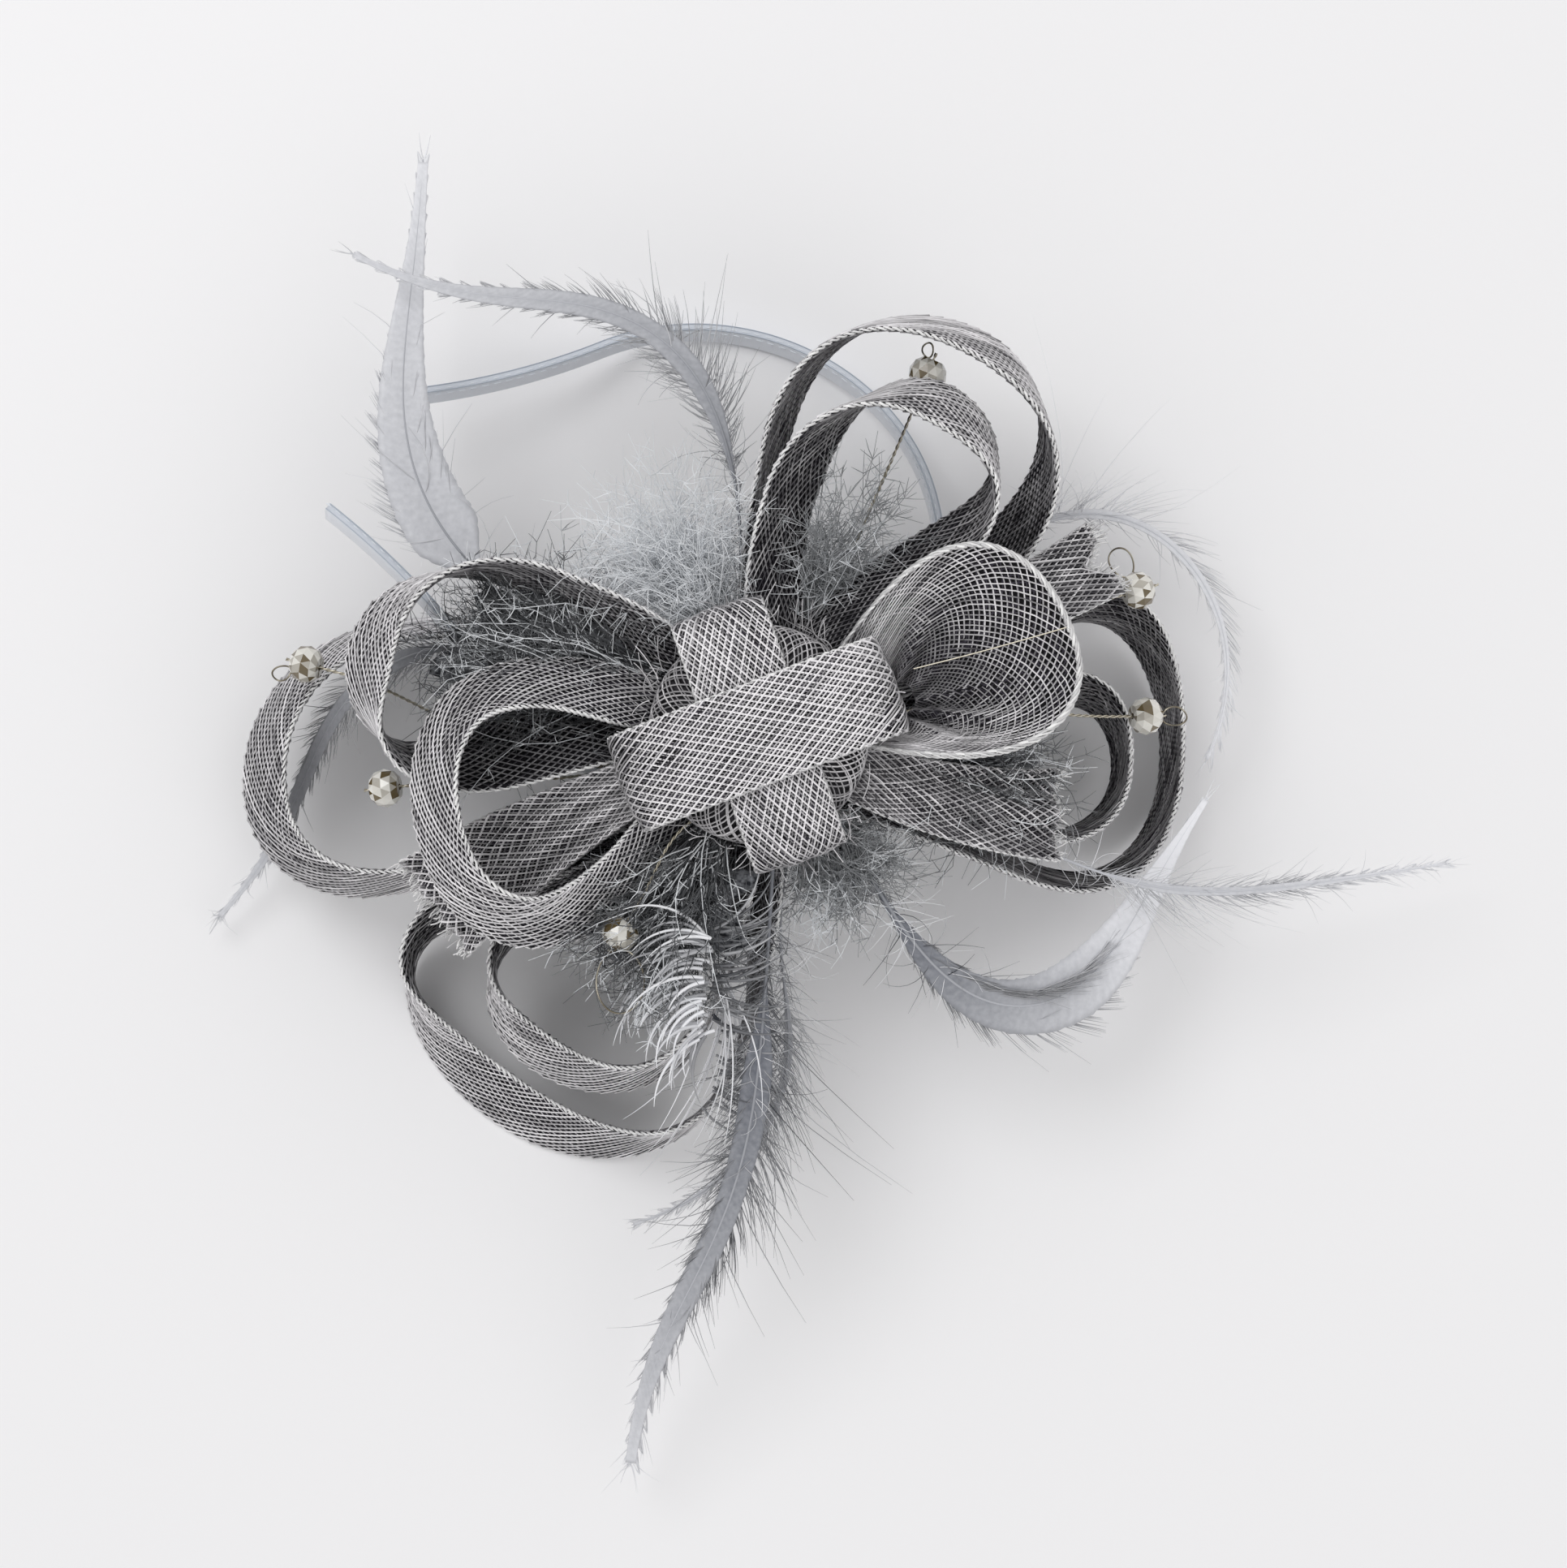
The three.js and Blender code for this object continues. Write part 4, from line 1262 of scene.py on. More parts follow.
@dataclass
class Core:
    """The gathered stack of ribbon ends in the middle, mostly under the wraps."""

    below: float = 15.0
    shoulder: float = 4.0
    dome: float = 10.0
    pleats: int = 46
    depth: float = 0.5
    threads: int = 96
    slant: float = 0.9
    girth: float = 0.22

    def build(self) -> None:
        """Builds the pleated drum with threads of net drawn over it."""
        turns = np.linspace(0, 2 * np.pi, self.pleats * 6, endpoint=False)
        rings = [(0.3, -self.below), (1.0, -self.below), (1.0, 0.0), (1.0, self.shoulder)]
        for angle in (1.25, 1.0, 0.7, 0.35, 0.08):
            rings.append((math.sin(angle), between((self.shoulder, self.dome), math.cos(angle))))
        points, tones = [], []
        for share, height in rings:
            ripple = self.depth * np.sin(self.pleats * turns) * share
            radius = np.maximum(CORE_RADIUS * share - self.depth + ripple, 0.2)
            points.append(round_axis(radius, turns, height))
            # Painted shade: the drum is darker in the valleys between its pleats and lighter on
            # their ridges.
            tones.append(0.06 + 0.06 * np.sin(self.pleats * turns))
        faces = tube_faces(len(rings), len(turns))
        marks = {"tone": np.concatenate(tones)}
        drum = solid_mesh("gathered_core_drum", np.concatenate(points), faces, STACK, marks)
        fit(drum, "net", "gathered_core")
        rng = np.random.default_rng(7)
        threads = Strands()
        for slant in (1, -1):
            start = np.linspace(0, 2 * np.pi, self.threads, endpoint=False)[:, None]
            start = start + rng.normal(0, 0.02, (self.threads, 1))
            part = np.linspace(0, 1, 17)
            turn = start + slant * self.slant * part
            over = np.clip((part - 0.5) / 0.5, 0, 1) * 1.1
            side = -self.below + (self.below + self.shoulder) * np.clip(part / 0.5, 0, 1)
            height = side + (self.dome - self.shoulder) * np.sin(over) + 0.25
            lines = round_axis(CORE_RADIUS * np.cos(over) + 0.1, turn, height)
            # Painted shade: the threads darken down the drum's side and lighten over the dome.
            tone = rng.uniform(0.2, 1.0, (self.threads, 1)) * (0.4 + 0.6 * part)
            threads.add(lines, self.girth, tone)
        fit(Sweep.make("gathered_core_net", threads, NET_THREAD), "net")


@dataclass
class Headband:
    """The slim satin headband, with its seam and two rows of stitches."""

    crown_radius: float = 62.0
    crown_half_turn: float = 28.0
    side_radius: float = 50.0
    side_turn: float = 104.0
    tips: Pair = (43.0, 54.0)
    tip_flare: float = 17.0
    width: float = 5.0
    thickness: float = 2.0
    lean: float = 24.8
    axis_turn: float = -15.0
    seat_turn: float = 60.0
    seat: Triple = (0.0, -10.5, -14.0)
    steps: int = 220
    sides: int = 28
    squareness: float = 0.45
    seam: float = 0.72
    # Spacing, length and width of a stitch.
    stitch: Triple = (2.6, 1.7, 0.34)
    stand_off: float = 0.02
    row_offset: float = 0.25
    face_row: float = 1.6

    def half_line(self, tip: float) -> tuple[Array, Array]:
        """Half of the centre line in its own plane, from the crown to one tip.

        Args:
            tip: The straight end's length.

        Returns:
            The points, and how far the line has turned at each.
        """
        arcs = (
            (self.crown_radius * math.radians(self.crown_half_turn), self.crown_half_turn),
            (self.side_radius * math.radians(self.side_turn), self.side_turn),
            (tip, -self.tip_flare),
        )
        total = sum(length for length, _ in arcs)
        points, turned = [np.array([self.crown_radius, 0.0])], [0.0]
        for length, turn in arcs:
            count = max(6, round(length / total * self.steps / 2))
            for _ in range(count):
                heading = math.radians(90 + turned[-1] + turn / count / 2)
                step = np.array([math.cos(heading), math.sin(heading)]) * length / count
                points.append(points[-1] + step)
                turned.append(turned[-1] + turn / count)
        return np.array(points), np.array(turned)

    def frame(self) -> tuple[Array, Array, Array]:
        """The centre line, the outward direction at each point, and the plane's normal."""
        spin, tip = math.radians(self.axis_turn), math.radians(-self.lean)
        turn_z = np.array(
            [[math.cos(spin), -math.sin(spin), 0], [math.sin(spin), math.cos(spin), 0], [0, 0, 1]]
        )
        turn_x = np.array(
            [[1, 0, 0], [0, math.cos(tip), -math.sin(tip)], [0, math.sin(tip), math.cos(tip)]]
        )
        tilt = turn_z @ turn_x
        low, _ = self.half_line(self.tips[0])
        high, turned = self.half_line(self.tips[1])
        bend = np.argmax(turned >= self.seat_turn)
        part = (self.seat_turn - turned[bend - 1]) / (turned[bend] - turned[bend - 1])
        spot = high[bend - 1] + (high[bend] - high[bend - 1]) * part
        flat = np.concatenate([low[::-1], high[1:] * [1, -1]])
        line = np.column_stack([flat, np.zeros(len(flat))]) @ tilt.T
        shift = np.array(self.seat) - tilt @ np.array([spot[0], -spot[1], 0.0])
        line = line + shift
        normal = tilt @ UP
        outward = unit(np.cross(unit(np.gradient(line, axis=0)), normal))
        return line, outward, normal

    def build(self) -> None:
        """Builds the band, its seam and its stitches."""
        line, outward, normal = self.frame()
        corner = np.linspace(0, 2 * np.pi, self.sides, endpoint=False)
        waves = np.stack([np.cos(corner), np.sin(corner)])
        thick, wide = np.sign(waves) * np.abs(waves) ** self.squareness / 2
        rings = line[:, None] + outward[:, None] * (thick * self.thickness)[:, None]
        rings = rings + normal * (wide * self.width)[:, None]
        faces = tube_faces(*rings.shape[:2])
        # Painted shade: the satin darkens towards the band's two edges, where its section turns
        # from the light.
        edge = np.abs(np.sin(corner)) ** 4
        tones = np.broadcast_to(0.75 - 0.5 * edge, rings.shape[:2]).ravel()
        band = solid_mesh("headband_satin", rings.reshape(-1, 3), faces, SATIN, {"tone": tones})
        fit(band, "satin", "headband")
        top = line + normal * (self.width / 2 + self.stand_off)
        seam = Strands()
        for side in (-self.seam, self.seam):
            seam.add(top + outward * side, 0.12, 0.3)
        fit(Sweep.make("headband_seam", seam, THREAD, 5), "satin")
        row = top + outward * self.row_offset
        fit(Stitches.make("headband_stitches", row, *self.stitch), "satin")
        face = line + outward * (self.thickness / 2 + self.stand_off) + normal * self.face_row
        fit(Stitches.make("headband_outer_stitches", face, *self.stitch), "satin")


class Vane(Enum):
    """How a feather's barbs lie: their looseness, their girth and the zipped shares of the vane."""

    # Zipped to a smooth blade.
    CLOSED = (0.04, 0.17, (0.92, 0.92))
    # Zipped near the shaft and parted outside.
    PARTED = (0.12, 0.15, (0.36, 0.66))
    # Loose and long.
    WISPY = (0.22, 0.12, (0.2, 0.3))

    def __init__(self, loose: float, girth: float, zipped: Pair) -> None:
        """Keeps the option's measures.

        Args:
            loose: How much the barbs stray from one another.
            girth: A barb's radius at its root.
            zipped: Share of the vane's width that is zipped, at its foot and towards its tip.
        """
        self.loose, self.girth, self.zipped = loose, girth, zipped


@dataclass(frozen=True)
class FeatherRow:
    """One feather, with the path that the part's source gives it and how it is dressed."""

    name: str
    turn: float
    z: float
    quill: float
    vane: float
    headings: tuple[float, ...]
    pitches: tuple[float, ...]
    width: float
    widest: float
    tip: float
    roll: float
    kind: Vane
    barbs: int
    slant: float
    tones: Pair
    shaft: Pair
    stray: float = 0.15
    spread: Pair = (1.0, 1.0)
    fluff: int = 0

    def tone_at(self, onto: Array) -> Array:
        """The barbs' tone at shares of the vane."""
        return between(self.tones, onto**1.6)


@dataclass
class Feathers:
    """The eight feathers."""

    rows: tuple[FeatherRow, ...] = (
        FeatherRow("feather_blade_up", 153, -14, 42, 98, (158, 134, 88, 87), (-3, -5, -8), 17, 0.16,
                   0.14, 12, Vane.CLOSED, 340, 24, (0.6, 0.84), (0.2, 0.6), 0.1, (1.0, 0.95), 30),
        FeatherRow("feather_sweep_up", 102, -12, 24, 110, (84, 112, 174, 152), (2, -2, -4), 12, 0.3,
                   0.12, 8, Vane.PARTED, 260, 34, (0.34, 0.72), (0.15, 0.75), 0.3, (1.1, 1.25), 40),
        FeatherRow("feather_arch_right", 36, -14, 42, 98, (40, 34, -50, -114), (-28, -8, -6), 10,
                   0.3, 0.2, -10, Vane.WISPY, 170, 30, (0.72, 0.92), (0.6, 0.8), 0.5, (1.5, 0.7),
                   60),
        FeatherRow("feather_hook_low", -46, -6, 10, 116, (-62, -42, 50, 56), (-14, -16, -6), 12,
                   0.55, 0.1, 10, Vane.CLOSED, 320, 24, (0.08, 1.5), (0.2, 0.95), 0.12, (1.25, 1.2),
                   90),
        FeatherRow("feather_point_right", -36, -5, 50, 88, (-6, -22, 4, 8), (-12, -14, -14), 8,
                   0.25, 0.15, 0, Vane.WISPY, 170, 22, (0.62, 0.86), (0.5, 0.8), 0.45, (1.1, 1.5),
                   50),
        FeatherRow("feather_plume_down", 278, -4, 24, 124, (-93, -97, -116, -98), (-5, -16, -26),
                   13, 0.22, 0.2, 0, Vane.PARTED, 330, 30, (0.14, 0.8), (0.15, 0.75), 0.45,
                   (1.6, 1.1), 120),
        FeatherRow("feather_spray_down", 288, -12, 22, 82, (-104, -84, -128, -160), (-6, -14, -24),
                   8, 0.3, 0.2, 14, Vane.WISPY, 150, 30, (0.42, 0.7), (0.3, 0.5), 0.5, (1.2, 1.2),
                   40),
        FeatherRow("feather_left_down", 173, -11, 42, 98, (140, 184, 242, 226), (4, -30, -12), 9,
                   0.2, 0.15, 0, Vane.PARTED, 210, 28, (0.34, 0.72), (0.3, 0.65), 0.35, (1.3, 1.1),
                   60),
    )
    steps: int = 60
    first_seed: int = 60
    # Barbs hang together in locks. The scatter gives neighbouring locks unlike leanings.
    locks: int = 22
    scatter: float = 12.9898

    def track(self, row: FeatherRow) -> Track:
        """A feather's shaft line with its axes and the vane's half width."""
        length = row.quill + row.vane
        middle = (np.arange(self.steps) + 0.5) / self.steps
        heading = np.radians(on_curve(row.headings, middle))
        pitch = np.radians(on_curve(row.pitches, middle))
        flat = np.cos(pitch)
        ways = np.stack([np.cos(heading) * flat, np.sin(heading) * flat, np.sin(pitch)], -1)
        root = polar(row.turn, CORE_RADIUS + CLEARANCE, row.z)
        points = np.concatenate([[root], ways * length / self.steps]).cumsum(0)

        def path(share: Array) -> Array:
            """The shaft's line by its share."""
            place = np.asarray(share, float) * self.steps
            return read_rows(place, np.arange(self.steps + 1), points)

        def half(share: Array) -> Array:
            """Half of the vane's width by the shaft's share."""
            onto = (np.asarray(share, float) - row.quill / length) / (row.vane / length)
            falling = 1 - (1 - row.tip) * smooth(onto, row.widest, 1.0) ** 0.8
            return np.maximum(0.4, row.width * smooth(onto, 0.0, row.widest) * falling / 2)

        return Track.follow(path, lambda share: 90 + row.roll + 0 * share, half)

    def lay_barbs(self, row: FeatherRow, track: Track, strands: Strands, rng: Random) -> None:
        """Lays the barbs on both sides of the shaft.

        Args:
            row: The feather.
            track: Its shaft line.
            strands: Where the barbs are gathered.
            rng: Source of the irregularities.
        """
        reach = np.linspace(0, 1, 5)
        for side, spread in zip((-1.0, 1.0), row.spread):
            count = int(row.barbs * min(spread, 1.2))
            onto = np.sort(rng.uniform(0, 1, count)) * 0.985
            along = row.quill + onto * row.vane
            lock = onto * self.locks + 0.5 * side
            gather = np.sin(np.floor(lock) * self.scatter) * 0.5
            free = row.kind.loose * (1.6 - 1.3 * smooth(onto, 0.2, 0.7))
            slant = np.radians(row.slant * (1.2 - 0.6 * onto))
            tips = along + track.read(track.half, along) * spread / np.tan(slant)
            half = np.maximum(track.read(track.half, np.minimum(tips, track.length)), 0.7) * spread
            length = half / np.sin(slant) * (1 + rng.normal(0, 1, count) * free)
            slant = slant * (1 + 0.3 * gather + rng.normal(0, 1, count) * free)
            pull = (0.5 - lock % 1.0) * row.vane / self.locks * 0.85 / length
            odd = rng.uniform(0, 1, count) < row.stray * 0.35
            length = np.where(odd, length * rng.uniform(1.1, 1.7, count), length)
            ahead = np.clip(along, 0, track.length)
            root = track.read(track.centre, ahead)
            wide = track.read(track.wide, ahead)
            through = track.read(track.through, ahead)
            tangent = unit(np.cross(wide, through))
            outwards = np.sin(slant)[:, None] * (1.15 * reach - 0.15 * reach**2)
            forwards = np.cos(slant)[:, None] * (0.8 * reach + 0.2 * reach**2)
            forwards = forwards + pull[:, None] * reach**2
            lift = (rng.normal(0, 1.4, count) * free)[:, None] * reach**2
            curl = np.where(odd, rng.normal(0, 0.3, count), 0.0)[:, None] * reach**2
            points = (
                root[:, None]
                + wide[:, None] * (side * (outwards + curl) * length[:, None])[..., None]
                + tangent[:, None] * ((forwards - 0.4 * np.abs(curl)) * length[:, None])[..., None]
                + through[:, None] * (lift * length[:, None] * 0.5 + 0.1)[..., None]
            )
            taper = row.kind.girth * (1 - 0.8 * reach**1.5)
            shade = row.tone_at(onto) + 0.16 * gather * (row.kind is not Vane.CLOSED)
            tone = shade[:, None] + rng.normal(0, 0.08, (count, 1)) + 0.1 * reach
            strands.add(points, np.broadcast_to(taper, tone.shape), tone)

    def lay_fluff(self, row: FeatherRow, track: Track, strands: Strands, rng: Random) -> None:
        """Lays the soft curled barbs at the foot of the vane.

        Args:
            row: The feather.
            track: Its shaft line.
            strands: Where the barbs are gathered.
            rng: Source of the irregularities.
        """
        if row.fluff == 0:
            return
        along = row.quill * 0.7 + rng.uniform(0, 1, row.fluff) ** 1.6 * row.vane * 0.42
        root = track.read(track.centre, along)
        wide, through = track.read(track.wide, along), track.read(track.through, along)
        tangent = unit(np.cross(wide, through))
        side = np.where(rng.uniform(0, 1, row.fluff) < 0.5, -1.0, 1.0)
        angle = np.radians(rng.uniform(35, 85, row.fluff))
        turn = rng.normal(0, 1.3, row.fluff)
        length = rng.uniform(6, 15, row.fluff) * row.width / 12
        reach = np.linspace(0, 1, 8)
        bearing = angle[:, None] - turn[:, None] * reach
        step = length[:, None] / 7
        out = np.cumsum(np.sin(bearing) * step, 1) - np.sin(bearing[:, :1]) * step
        forth = np.cumsum(np.cos(bearing) * step, 1) - np.cos(bearing[:, :1]) * step
        rise = rng.normal(0, 1.6, row.fluff)[:, None] * reach
        points = (
            root[:, None]
            + wide[:, None] * (side[:, None] * out)[..., None]
            + tangent[:, None] * forth[..., None]
            + through[:, None] * rise[..., None]
        )
        tone = rng.uniform(row.tones[0] - 0.1, row.tones[1], (row.fluff, 1)) + 0.15 * reach
        strands.add(points, 0.13 * (1 - 0.7 * reach), tone)

    def blade(self, row: FeatherRow, track: Track) -> bpy.types.Object:
        """The zipped part of a vane, a thin closed sheet with a ragged edge."""
        along, aside = grid(
            np.linspace(row.quill * 0.96, track.length * 0.985, 130), np.linspace(-1, 1, 9)
        )
        ragged = 1 + 0.03 * np.sin(along * 2.3) * np.sin(along * 0.61)
        onto = np.clip((along - row.quill) / row.vane, 0, 1)
        zipped = between(row.kind.zipped, smooth(onto, 0.35, 0.75))
        half = track.read(track.half, along) * zipped * ragged * sum(row.spread) / 2
        centre, wide = track.read(track.centre, along), track.read(track.wide, along)
        through = track.read(track.through, along)
        thick = 0.05 + 0.13 * (1 - np.abs(aside))
        dish = 0.05 * np.abs(aside) * half
        stripe = 0.02 * np.sin((along - np.abs(aside) * half * 1.9) * 3.1)
        tone = np.clip(row.tone_at(onto) + stripe - 0.06 * (1 - np.abs(aside)), 0, 1)
        middle = centre + wide * (aside * half)[..., None] - through * dish[..., None]
        return sheet_mesh(
            f"{row.name}_blade",
            middle + through * thick[..., None],
            middle - through * thick[..., None],
            VANE,
            {"tone": (tone, tone)},
        )

    def build(self) -> None:
        """Builds each feather's blade, barbs and shaft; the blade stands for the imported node."""
        for number, row in enumerate(self.rows):
            rng = np.random.default_rng(self.first_seed + number)
            track = self.track(row)
            fit(self.blade(row, track), "vane", row.name)
            barbs = Strands()
            self.lay_barbs(row, track, barbs, rng)
            self.lay_fluff(row, track, barbs, rng)
            fit(Sweep.make(f"{row.name}_barbs", barbs, BARB), "vane")
            shaft = Strands()
            part = np.linspace(0, 1, 70)
            line = track.read(track.centre, part * track.length * 0.99)
            shaft.add(line + UP * 0.1, 0.42 * (1 - 0.82 * part), between(row.shaft, part))
            fit(Sweep.make(f"{row.name}_shaft", shaft, SHAFT, 7), "vane")


@dataclass(frozen=True)
class TuftRow:
    """One tuft of down, with its place from the part's source and how it is dressed."""

    name: str
    turn: float
    heading: float
    z: float
    reach: float
    spread: float
    rise: float
    hairs: int
    tones: Pair
    bed: float
    curl: float = 70.0
    twigs: int = 7
    twig: float = 4.0


@dataclass
class Tufts:
    """The seven tufts of down."""

    rows: tuple[TuftRow, ...] = (
        TuftRow("tuft_upper_left", 156, 167, -6.8, 50, 24, -4, 600, (0.03, 1.1), 1.08, 90, 5, 3.6),
        TuftRow("tuft_sparse_left", 142, 144, -12.5, 46, 16, -14, 90, (0.5, 1.0), 0.0, 50, 12, 5.0),
        TuftRow("tuft_white_up", 112, 120, -5, 42, 30, 2, 430, (0.75, 1.5), 0.0, 80, 6, 4.2),
        TuftRow("tuft_top", 71, 64, -13.5, 42, 16, 6, 130, (0.35, 1.0), 0.0, 60, 11, 4.6),
        TuftRow("tuft_right", -12, -10, -8, 46, 16, -16, 420, (0.05, 1.15), 0.8, 100, 5, 3.8),
        TuftRow("tuft_low_right", -58, -54, -8, 26, 44, -8, 380, (0.22, 1.1), 0.0, 90, 6, 4.4),
        TuftRow("tuft_low_left", 246, 238, 0, 44, 26, -12, 480, (0.03, 1.05), 0.8, 90, 5, 4.2),
    )
    first_seed: int = 90

    @staticmethod
    def hair_lines(row: TuftRow, rng: Random, points: int = 8) -> Array:
        """Curled lines fanned out from the tuft's root.

        Args:
            row: The tuft.
            rng: Source of the irregularities.
            points: Points of each line.

        Returns:
            The lines, as lines by points by three.
        """
        count = row.hairs
        root = polar(row.turn, CORE_RADIUS + 1.5, row.z)
        root = root + rng.normal(0, 1, (count, 3)) * [2.2, 2.2, 1.8]
        share = rng.uniform(-1, 1, count)
        spread_out = rng.uniform(0, 1, count) * (rng.uniform(0, 1, count) < 0.6) * min(row.bed, 1.0)
        onto = 0.72 * row.reach * spread_out
        aside = 0.62 * row.reach * math.sin(math.radians(row.spread)) * share * spread_out
        head, side = polar(row.heading, 1.0), polar(row.heading + 90, 1.0)
        root = root + head * onto[:, None] + side * aside[:, None]
        length = row.reach * rng.uniform(0.4, 1.08, count)
        length = length * (1 - 0.25 * share**2) * (1 - 0.66 * spread_out)
        part = np.linspace(0, 1, points)
        bend = rng.normal(0, row.curl, count)[:, None] * part**2
        swing = rng.uniform(6, 22, count)[:, None]
        rate = rng.uniform(4, 10, count)[:, None]
        wave = swing * np.sin(part * rate + rng.uniform(0, 6.28, count)[:, None])
        heading = np.radians((row.heading + row.spread * share)[:, None] + bend + wave)
        pitch = math.atan2(row.rise, row.reach) + rng.normal(0, 0.16, count)[:, None]
        pitch = pitch + rng.normal(0, 0.5, count)[:, None] * part
        step = (length / (points - 1))[:, None]
        return walked(root, heading, np.cos(pitch) * step, np.tan(pitch))

    @staticmethod
    def twig_lines(row: TuftRow, hairs: Array, tone: Array, rng: Random) -> tuple[Array, Array]:
        """Short side barbs along the hairs.

        Args:
            row: The tuft.
            hairs: The hairs' lines.
            tone: Each hair's tone at each point.
            rng: Source of the irregularities.

        Returns:
            The side barbs' lines, and the tone of each.
        """
        count, points = hairs.shape[:2]
        which = np.repeat(np.arange(count), row.twigs)
        place = rng.integers(2, points - 1, len(which))
        start = hairs[which, place]
        ahead = unit(hairs[which, place + 1] - start)
        sign = np.where(rng.uniform(0, 1, len(which)) < 0.5, -1, 1)
        side = unit(np.cross(ahead, UP)) * sign[:, None]
        slant = np.radians(rng.uniform(25, 70, len(which)))[:, None]
        way = ahead * np.cos(slant) + side * np.sin(slant) + rng.normal(0, 0.2, (len(which), 3))
        length = (row.twig * rng.uniform(0.35, 1.1, len(which)))[:, None]
        bend = rng.normal(0, 0.25, (len(which), 3)) * length
        middle, tip = start + way * length * 0.5 + bend * 0.3, start + way * length + bend
        return np.stack([start, middle, tip], 1), tone[which, place]

    @staticmethod
    def bed_mesh(row: TuftRow, rng: Random) -> bpy.types.Object:
        """The matted down under the hairs: a flat uneven cushion in the down's slate, darkened as
        painted shade in the depth of the tuft.
        """
        rings, sides = 14, 40
        polar_angle, round_angle = grid(
            np.linspace(0, np.pi, rings), np.linspace(0, 2 * np.pi, sides, endpoint=False)
        )
        spread = math.radians(min(row.spread, 40))
        long_way, wide_way = row.reach * 0.47 * row.bed, row.reach * math.sin(spread) * 0.75
        waves = [0.07 * np.sin(k * round_angle + rng.uniform(0, 6.28)) for k in range(2, 11)]
        grain = 0.03 * rng.normal(0, 1, polar_angle.shape)
        lumps = 0.9 + np.sin(polar_angle) * (sum(waves) + grain)
        x = long_way * np.sin(polar_angle) * np.cos(round_angle) * lumps
        y = wide_way * np.sin(polar_angle) * np.sin(round_angle) * lumps
        z = 1.8 * np.cos(polar_angle)
        head = polar(row.heading, 1.0)
        side = polar(row.heading + 90, 1.0)
        middle = polar(row.turn, CORE_RADIUS) + head * (long_way * 0.95)
        middle = middle + UP * (row.z + row.rise * 0.3 - 2.5)
        points = middle + head * x[..., None] + side * y[..., None] + UP * z[..., None]
        index = np.arange(rings * sides).reshape(rings, sides)
        after = np.roll(index, -1, axis=1)
        inner = np.stack([index[1:-2], after[1:-2], after[2:-1], index[2:-1]], -1).reshape(-1, 4)
        corners = np.concatenate([points[1:-1].reshape(-1, 3), points[0, :1], points[-1, :1]])
        faces = [tuple(q) for q in inner - sides]
        count = (rings - 2) * sides
        faces += [(i, count, (i + 1) % sides) for i in range(sides)]
        last = count - sides
        faces += [(last + i, last + (i + 1) % sides, count + 1) for i in range(sides)]
        # Painted shade: the bed takes a tone near the tuft's darkest one.
        tone = np.full(len(corners), row.tones[0] + 0.14)
        return solid_mesh(f"{row.name}_bed", corners, faces, DOWN_BED, {"tone": tone})

    def build(self) -> None:
        """Builds each tuft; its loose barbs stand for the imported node."""
        for number, row in enumerate(self.rows):
            rng = np.random.default_rng(self.first_seed + number)
            hairs = self.hair_lines(row, rng)
            count, points = hairs.shape[:2]
            part = np.linspace(0, 1, points)
            # Painted highlights: three hairs in ten are made fully bright as glints. All hairs
            # darken towards their roots as painted shade in the depth of the tuft.
            lit = rng.uniform(0, 1, (count, 1))
            own = np.where(lit < 0.7, 0.12 * lit, 1.0)
            tone = between(row.tones, np.clip(own * (0.6 + 0.5 * part) + 0.06 * part, 0, 1))
            down = Strands()
            down.add(hairs, 0.19 * (1 - 0.7 * part), tone)
            twigs, lit = self.twig_lines(row, hairs, tone, rng)
            down.add(twigs, np.array([0.11, 0.1, 0.05]), lit[:, None] + 0.05)
            fit(Sweep.make(f"{row.name}_barbs", down, DOWN), "down", row.name)
            if row.bed > 0:
                fit(self.bed_mesh(row, rng), "down")


@dataclass(frozen=True)
class BeadRow:
    """One bead on its wire, with the places that the part's source gives it."""

    name: str
    turn: float
    reach: float
    z: float
    root_turn: float
    root_z: float
    bow: float
    loop: Pair = (0.0, 0.0)


